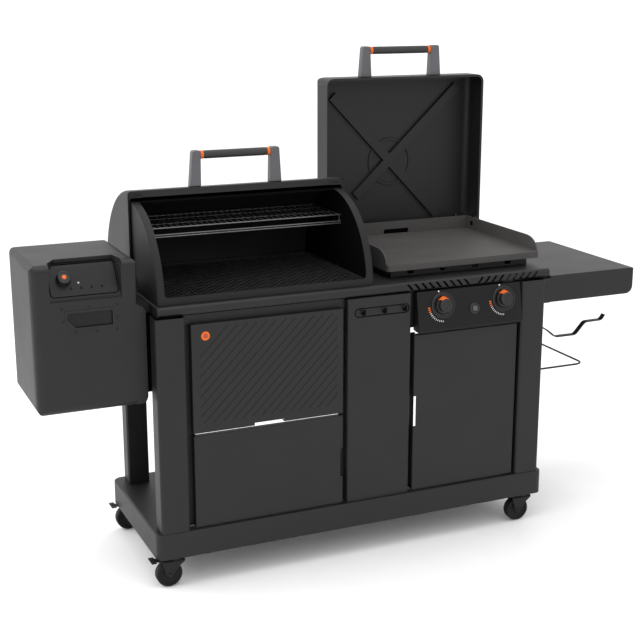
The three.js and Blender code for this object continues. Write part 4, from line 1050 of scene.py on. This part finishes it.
# ---- Controls ----
CONTROL = Sizes(top=825, top_y=12, low=705, low_y=-10, corner=12, fillet=7)
CONTROL_TILT = degrees(atan((CONTROL.top_y - CONTROL.low_y) / (CONTROL.top - CONTROL.low)))
KNOBS_X = {"left": 939, "right": 1157}
KNOB_Z = 778
IGNITER = (1050, 758)
SHAFT_BORE, IGNITER_BORE = 8, 9.5
FLUTES = Sizes(count=12, depth=0.045, reach=19, levels=(6, 23.5))
TICKS = Sizes(count=12, orange=3, start=185, end=266, radius=50)
SPARK_MARK = Sizes(radius=2.4, place=(-13, 44.5, 0))


def on_panel(bm, x, z):
    """Stands a solid drawn about the zero on the sloping panel: z points outward, y up the slope."""
    y = CONTROL.top_y - (CONTROL.top - z) * tan(radians(CONTROL_TILT))
    return placed(bm, x, y, z, 90 - CONTROL_TILT)


def tick_marks():
    """The dial's ticks and its one round mark, drawn about the zero, by finish."""
    marks = {"orange_enamel": [], "white_print": []}
    for i in range(TICKS.count):
        share = i / (TICKS.count - 1)
        finish, half, reach = ("orange_enamel", 1.5, 8) if i < TICKS.orange else (
            "white_print", 0.85, 7 - 2 * share)
        outline = rounded(TICKS.radius - reach / 2, TICKS.radius + reach / 2, -half, half, 0.5, 2)
        turn = TICKS.start + (TICKS.end - TICKS.start) * share
        marks[finish].append(placed(prism("z", outline, -0.3, 0.4), 0, 0, 0, turn, "Z"))
    r = SPARK_MARK.radius
    marks["white_print"].append(lathe([(0, 0.4), (r, 0.4), (r, -0.3), (0, -0.3)], "z", SPARK_MARK.place, 20))
    return marks


def make_knob(side, x):
    def fit(bm):
        return on_panel(bm, x, KNOB_Z)

    knob = lathe([(0, 22.8), (5, 22.8), (5.6, 22.2), (6.4, 22.2), (7, 22.8), (11, 22.8), (11.6, 22.2),
                  (12.4, 22.2), (13, 22.8), (17, 23.6), (19.6, 23.4), (21, 21.6), (21, 12), (21.6, 6.5),
                  (25.4, 5.4), (26, 4), (26, 1), (5, 1), (5, -24), (0, -24)], steps=96)
    flute(knob, FLUTES.count, FLUTES.depth, FLUTES.reach, FLUTES.levels, 2)
    piece(f"burner_knob_dial_{side}", fit(knob), "burner_knob_" + side)
    pointer = prism("z", [(-19, 19), (19, 19), (4, 28.5), (-4, 28.5)], 4, 21,
                    [(-12, 17.5), (12, 17.5), (3, 23), (-3, 23)])
    trim(f"burner_pointer_{side}", fit(pointer), "orange_enamel", "burner_knob_" + side, 0.6)
    bezel = lathe([(29, -0.5), (41, -0.5), (41, 2), (39.5, 3.6), (36.5, 4), (34.5, 2.2), (30, 1.6), (29, 1)],
                  steps=72, closed=True)
    trim(f"burner_bezel_{side}", fit(bezel), "knob_plastic")
    for finish, shapes in tick_marks().items():
        trim(f"burner_marks_{finish}_{side}", fit(merge(*shapes)), finish)


def make_controls():
    x0, x1, y0, y1, z0, z1 = cad("control_panel")

    def outline(inset):
        back = y1 + inset
        return [(CONTROL.top_y + inset, z1 - inset), (y0 + inset, CONTROL.low + inset / 2),
                (y0 + 2 + inset, z0 + 4), (0, z0 + inset), (back, z0 + inset), (back, z1 - inset)]

    plan = rounded(x0, x1, z0, z1, [CONTROL.corner, CONTROL.corner, 5, 5])
    skin = common(prism("x", outline(0), x0, x1), prism("y", plan, y0 - 1, y1 + 1))
    fillet(skin, CONTROL.fillet, lambda at, way: at.y < 8 and (abs(way.x) < 0.1 or at.z < z1 - 5))
    inside = prism("x", outline(SHEET), x0 + SHEET, x1 - SHEET)
    bores = [on_panel(rod(SHAFT_BORE, -14, 14), x, KNOB_Z) for x in KNOBS_X.values()]
    bores.append(on_panel(rod(IGNITER_BORE, -14, 14), *IGNITER))
    piece("control_fascia", cut(skin, inside, merge(*bores)), "control_panel", finish="fascia_paint")
    for side, x in KNOBS_X.items():
        make_knob(side, x)
    button = lathe([(0, 7), (5, 7.2), (7.4, 6.6), (9, 5), (9, -5), (12, -5), (12, -9), (0, -9)], steps=40)
    piece("igniter_cap", on_panel(button, *IGNITER), "igniter_button", finish="ring_grey")
    collar = lathe([(9.6, -0.5), (18, -0.5), (18, 2), (16.5, 3.6), (13, 4.4), (10.4, 4), (9.6, 2.6)],
                   steps=48, closed=True)
    trim("igniter_collar", on_panel(collar, *IGNITER), "knob_plastic")


# ---- Right side ----
SIDE_TRAY = Sizes(left=1336.7, corner=26, edge=6, fillet=4, lugs=((20, 60), (436, 478)))
ARM = Sizes(sheet=4, bend=9, path=[(1316.3, 664), (1350, 644), (1378, 620.5), (1456, 620), (1492.5, 659.5),
                                   (1558, 660), (1569, 677)], top=688, screws=(681, 670))
HOOP = Sizes(front=20, back=456, z=520, bend=34, wire=3.2)


def make_side_shelf():
    lugs_x0, x1, y0, y1, z0, z1 = cad("side_shelf")
    x0, corner, edge = SIDE_TRAY.left, SIDE_TRAY.corner, SIDE_TRAY.edge
    skin = prism("y", rounded(x0, x1, z0, z1, [0, corner, edge, 0]), y0, y1)
    fillet(skin, SIDE_TRAY.fillet, lambda at, way: min(at.y - y0, y1 - at.y) < 0.1 or (
        at.z > z1 - 1 and at.x < x0 + 1))
    hollow = prism("y", rounded(x0 + SHEET, x1 - SHEET, z0 - 40, z1 - SHEET, [0, 0, edge - SHEET, 0]),
                   y0 + SHEET, y1 - SHEET)
    leg_right = cad("leg_front_right")[1] + GAP
    lugs = [block(left, x0 + 1, *ends, z0 + 8, z1 - 20)
            for left, ends in zip((leg_right, lugs_x0), SIDE_TRAY.lugs)]
    apron = block(leg_right, x0 + 1, y0, y0 + SHEET, z0, cad("top_frame")[4] - GAP)
    piece("side_shelf_tray", join(cut(skin, hollow), *lugs, apron), "side_shelf")


def make_wires():
    x0, _, y0, y1, _, _ = cad("towel_arm")
    arm = prism("y", strap([(x0 + ARM.sheet / 2, ARM.top), *ARM.path], ARM.sheet, ARM.bend), y0, y1)
    piece("bent_towel_arm", arm, "towel_arm", bevel=0.8)
    heads = [placed(screw(3.4), x0 + ARM.sheet, (y0 + y1) / 2, z, 90, "Y") for z in ARM.screws]
    trim("towel_arm_screws", merge(*heads), "black_screw")
    x0, h = cad("bag_hoop")[0], HOOP
    corners = [(x0, h.front, h.z), (1488, h.front, h.z), (1491, h.back, h.z), (1299.5, h.back, h.z)]
    piece("wire_bag_hoop", tube(bent(corners, h.bend, 10), h.wire, 14), "bag_hoop")


# ---- Casters ----
SWIVELS = {f"{end}_{side}": (x, y) for end, y in (("front", 29), ("rear", 484))
           for side, x in (("left", 59.6), ("right", 1271.8))}
WHEEL = Sizes(radius=39.7, half=14, trail=21.2)
FORK = Sizes(wall=3, front=26, back=44, top=84, gap=1.5)
CASTER_PLATE = Sizes(half=34, near=26, far=40, inner=24, low=92.75, high=95.2)
PEDAL = Sizes(left=-78, right=-62, half=22, neck=12, low=85, high=88, treads=(-75, -71, -67))


def make_wheel(where, x, y):
    r, half = WHEEL.radius, WHEEL.half
    tyre = [(r - 9, -half + 1), (r - 4, -half), (r - 1.4, -half + 1.2), (r, -half + 4), (r, half - 4),
            (r - 1.4, half - 1.2), (r - 4, half), (r - 9, half - 1)]
    hub = [(r - 10, half - 3), (18, half - 5), (15, half - 5), (12, half - 2), (8, half), (4.5, half)]
    profile = tyre + hub + [(radius, -side) for radius, side in reversed(hub)]
    piece(f"rolling_wheel_{where}", lathe(profile, "y", (x, y, r), 56, closed=True), "caster_wheel_" + where)


def make_fork(where, x, y):
    r, half, top = WHEEL.radius, WHEEL.half, FORK.top
    axle_x, back, front = x - WHEEL.trail, x - FORK.back, x + FORK.front
    side = half + FORK.gap + FORK.wall
    cheek = [(back, top), (back, 77), (axle_x - 12, r + 2)] + arc(axle_x, r, 10, 200, 340, 10) + [
        (axle_x + 12, r + 2), (front - 16, 66), (front - 6, 73), (front, 79), (front, top)]
    cheeks = [fillet(prism("y", cheek, a, a + FORK.wall), 0.8, lambda at, way: True, 1)
              for a in (y - side, y + half + FORK.gap)]
    crown = prism("z", rounded(back, front, y - side, y + side, 5), top - 3, top + 0.5)
    race = lathe([(0, top), (19, top), (20, top + 2), (20, top + 5), (16, top + 6.5), (16, 92.7), (0, 92.7)],
                 "z", (x, y, 0), 32)
    nut = [(4, side), (6, side), (6, half + 6), (5, half + 7), (0, half + 7)]
    axle = lathe([(radius, -out) for radius, out in nut[::-1]] + nut, "y", (axle_x, y, r), 18)
    piece(f"swivel_fork_{where}", merge(crown, race, axle, *cheeks), "caster_fork_" + where)


def make_caster(where):
    x, y = SWIVELS[where]
    make_wheel(where, x - WHEEL.trail, y)
    make_fork(where, x, y)
    c = CASTER_PLATE
    near, far = (c.near, c.far) if where.startswith("front") else (c.far, c.inner)
    plate = prism("z", rounded(x - c.half, x + c.half, y - near, y + far, 5), c.low, c.high)
    trim(f"caster_plate_{where}", plate, "caster_metal", bevel=0.5)


def make_brake(end):
    (x, y), p = SWIVELS[end + "_left"], PEDAL
    left, right = x + p.left, x + p.right
    neck = prism("y", [(x - 46, 79), (x - 46, 83), (right, p.high), (left + 2, p.high), (left + 2, p.low),
                       (right + 1, p.low)], y - p.neck, y + p.neck)
    pad = prism("z", rounded(left, right, y - p.half, y + p.half, 3), p.low, p.high)
    treads = [block(x + a, x + a + 1.6, y - p.half + 4, y + p.half - 4, p.high - 0.5, p.high + 0.8)
              for a in p.treads]
    piece(f"brake_pedal_{end}", merge(neck, pad, *treads), "brake_lever_" + end, bevel=0.5)


# ---- The whole cart ----
make_camera()
make_stage()
make_base()
make_legs()
make_top_frame()
make_center_panel()
make_shelf_and_doors()
make_barrel()
make_liners()
make_smoker_lid()
make_handle("smoker_handle")
make_cooking_grate()
make_warming_rack()
make_feed()
make_auger()
make_hopper()
make_console()
make_burners()
make_griddle()
make_griddle_lid()
make_handle("griddle_handle")
make_controls()
make_side_shelf()
make_wires()
for corner in SWIVELS:
    make_caster(corner)
for end in ("front", "rear"):
    make_brake(end)
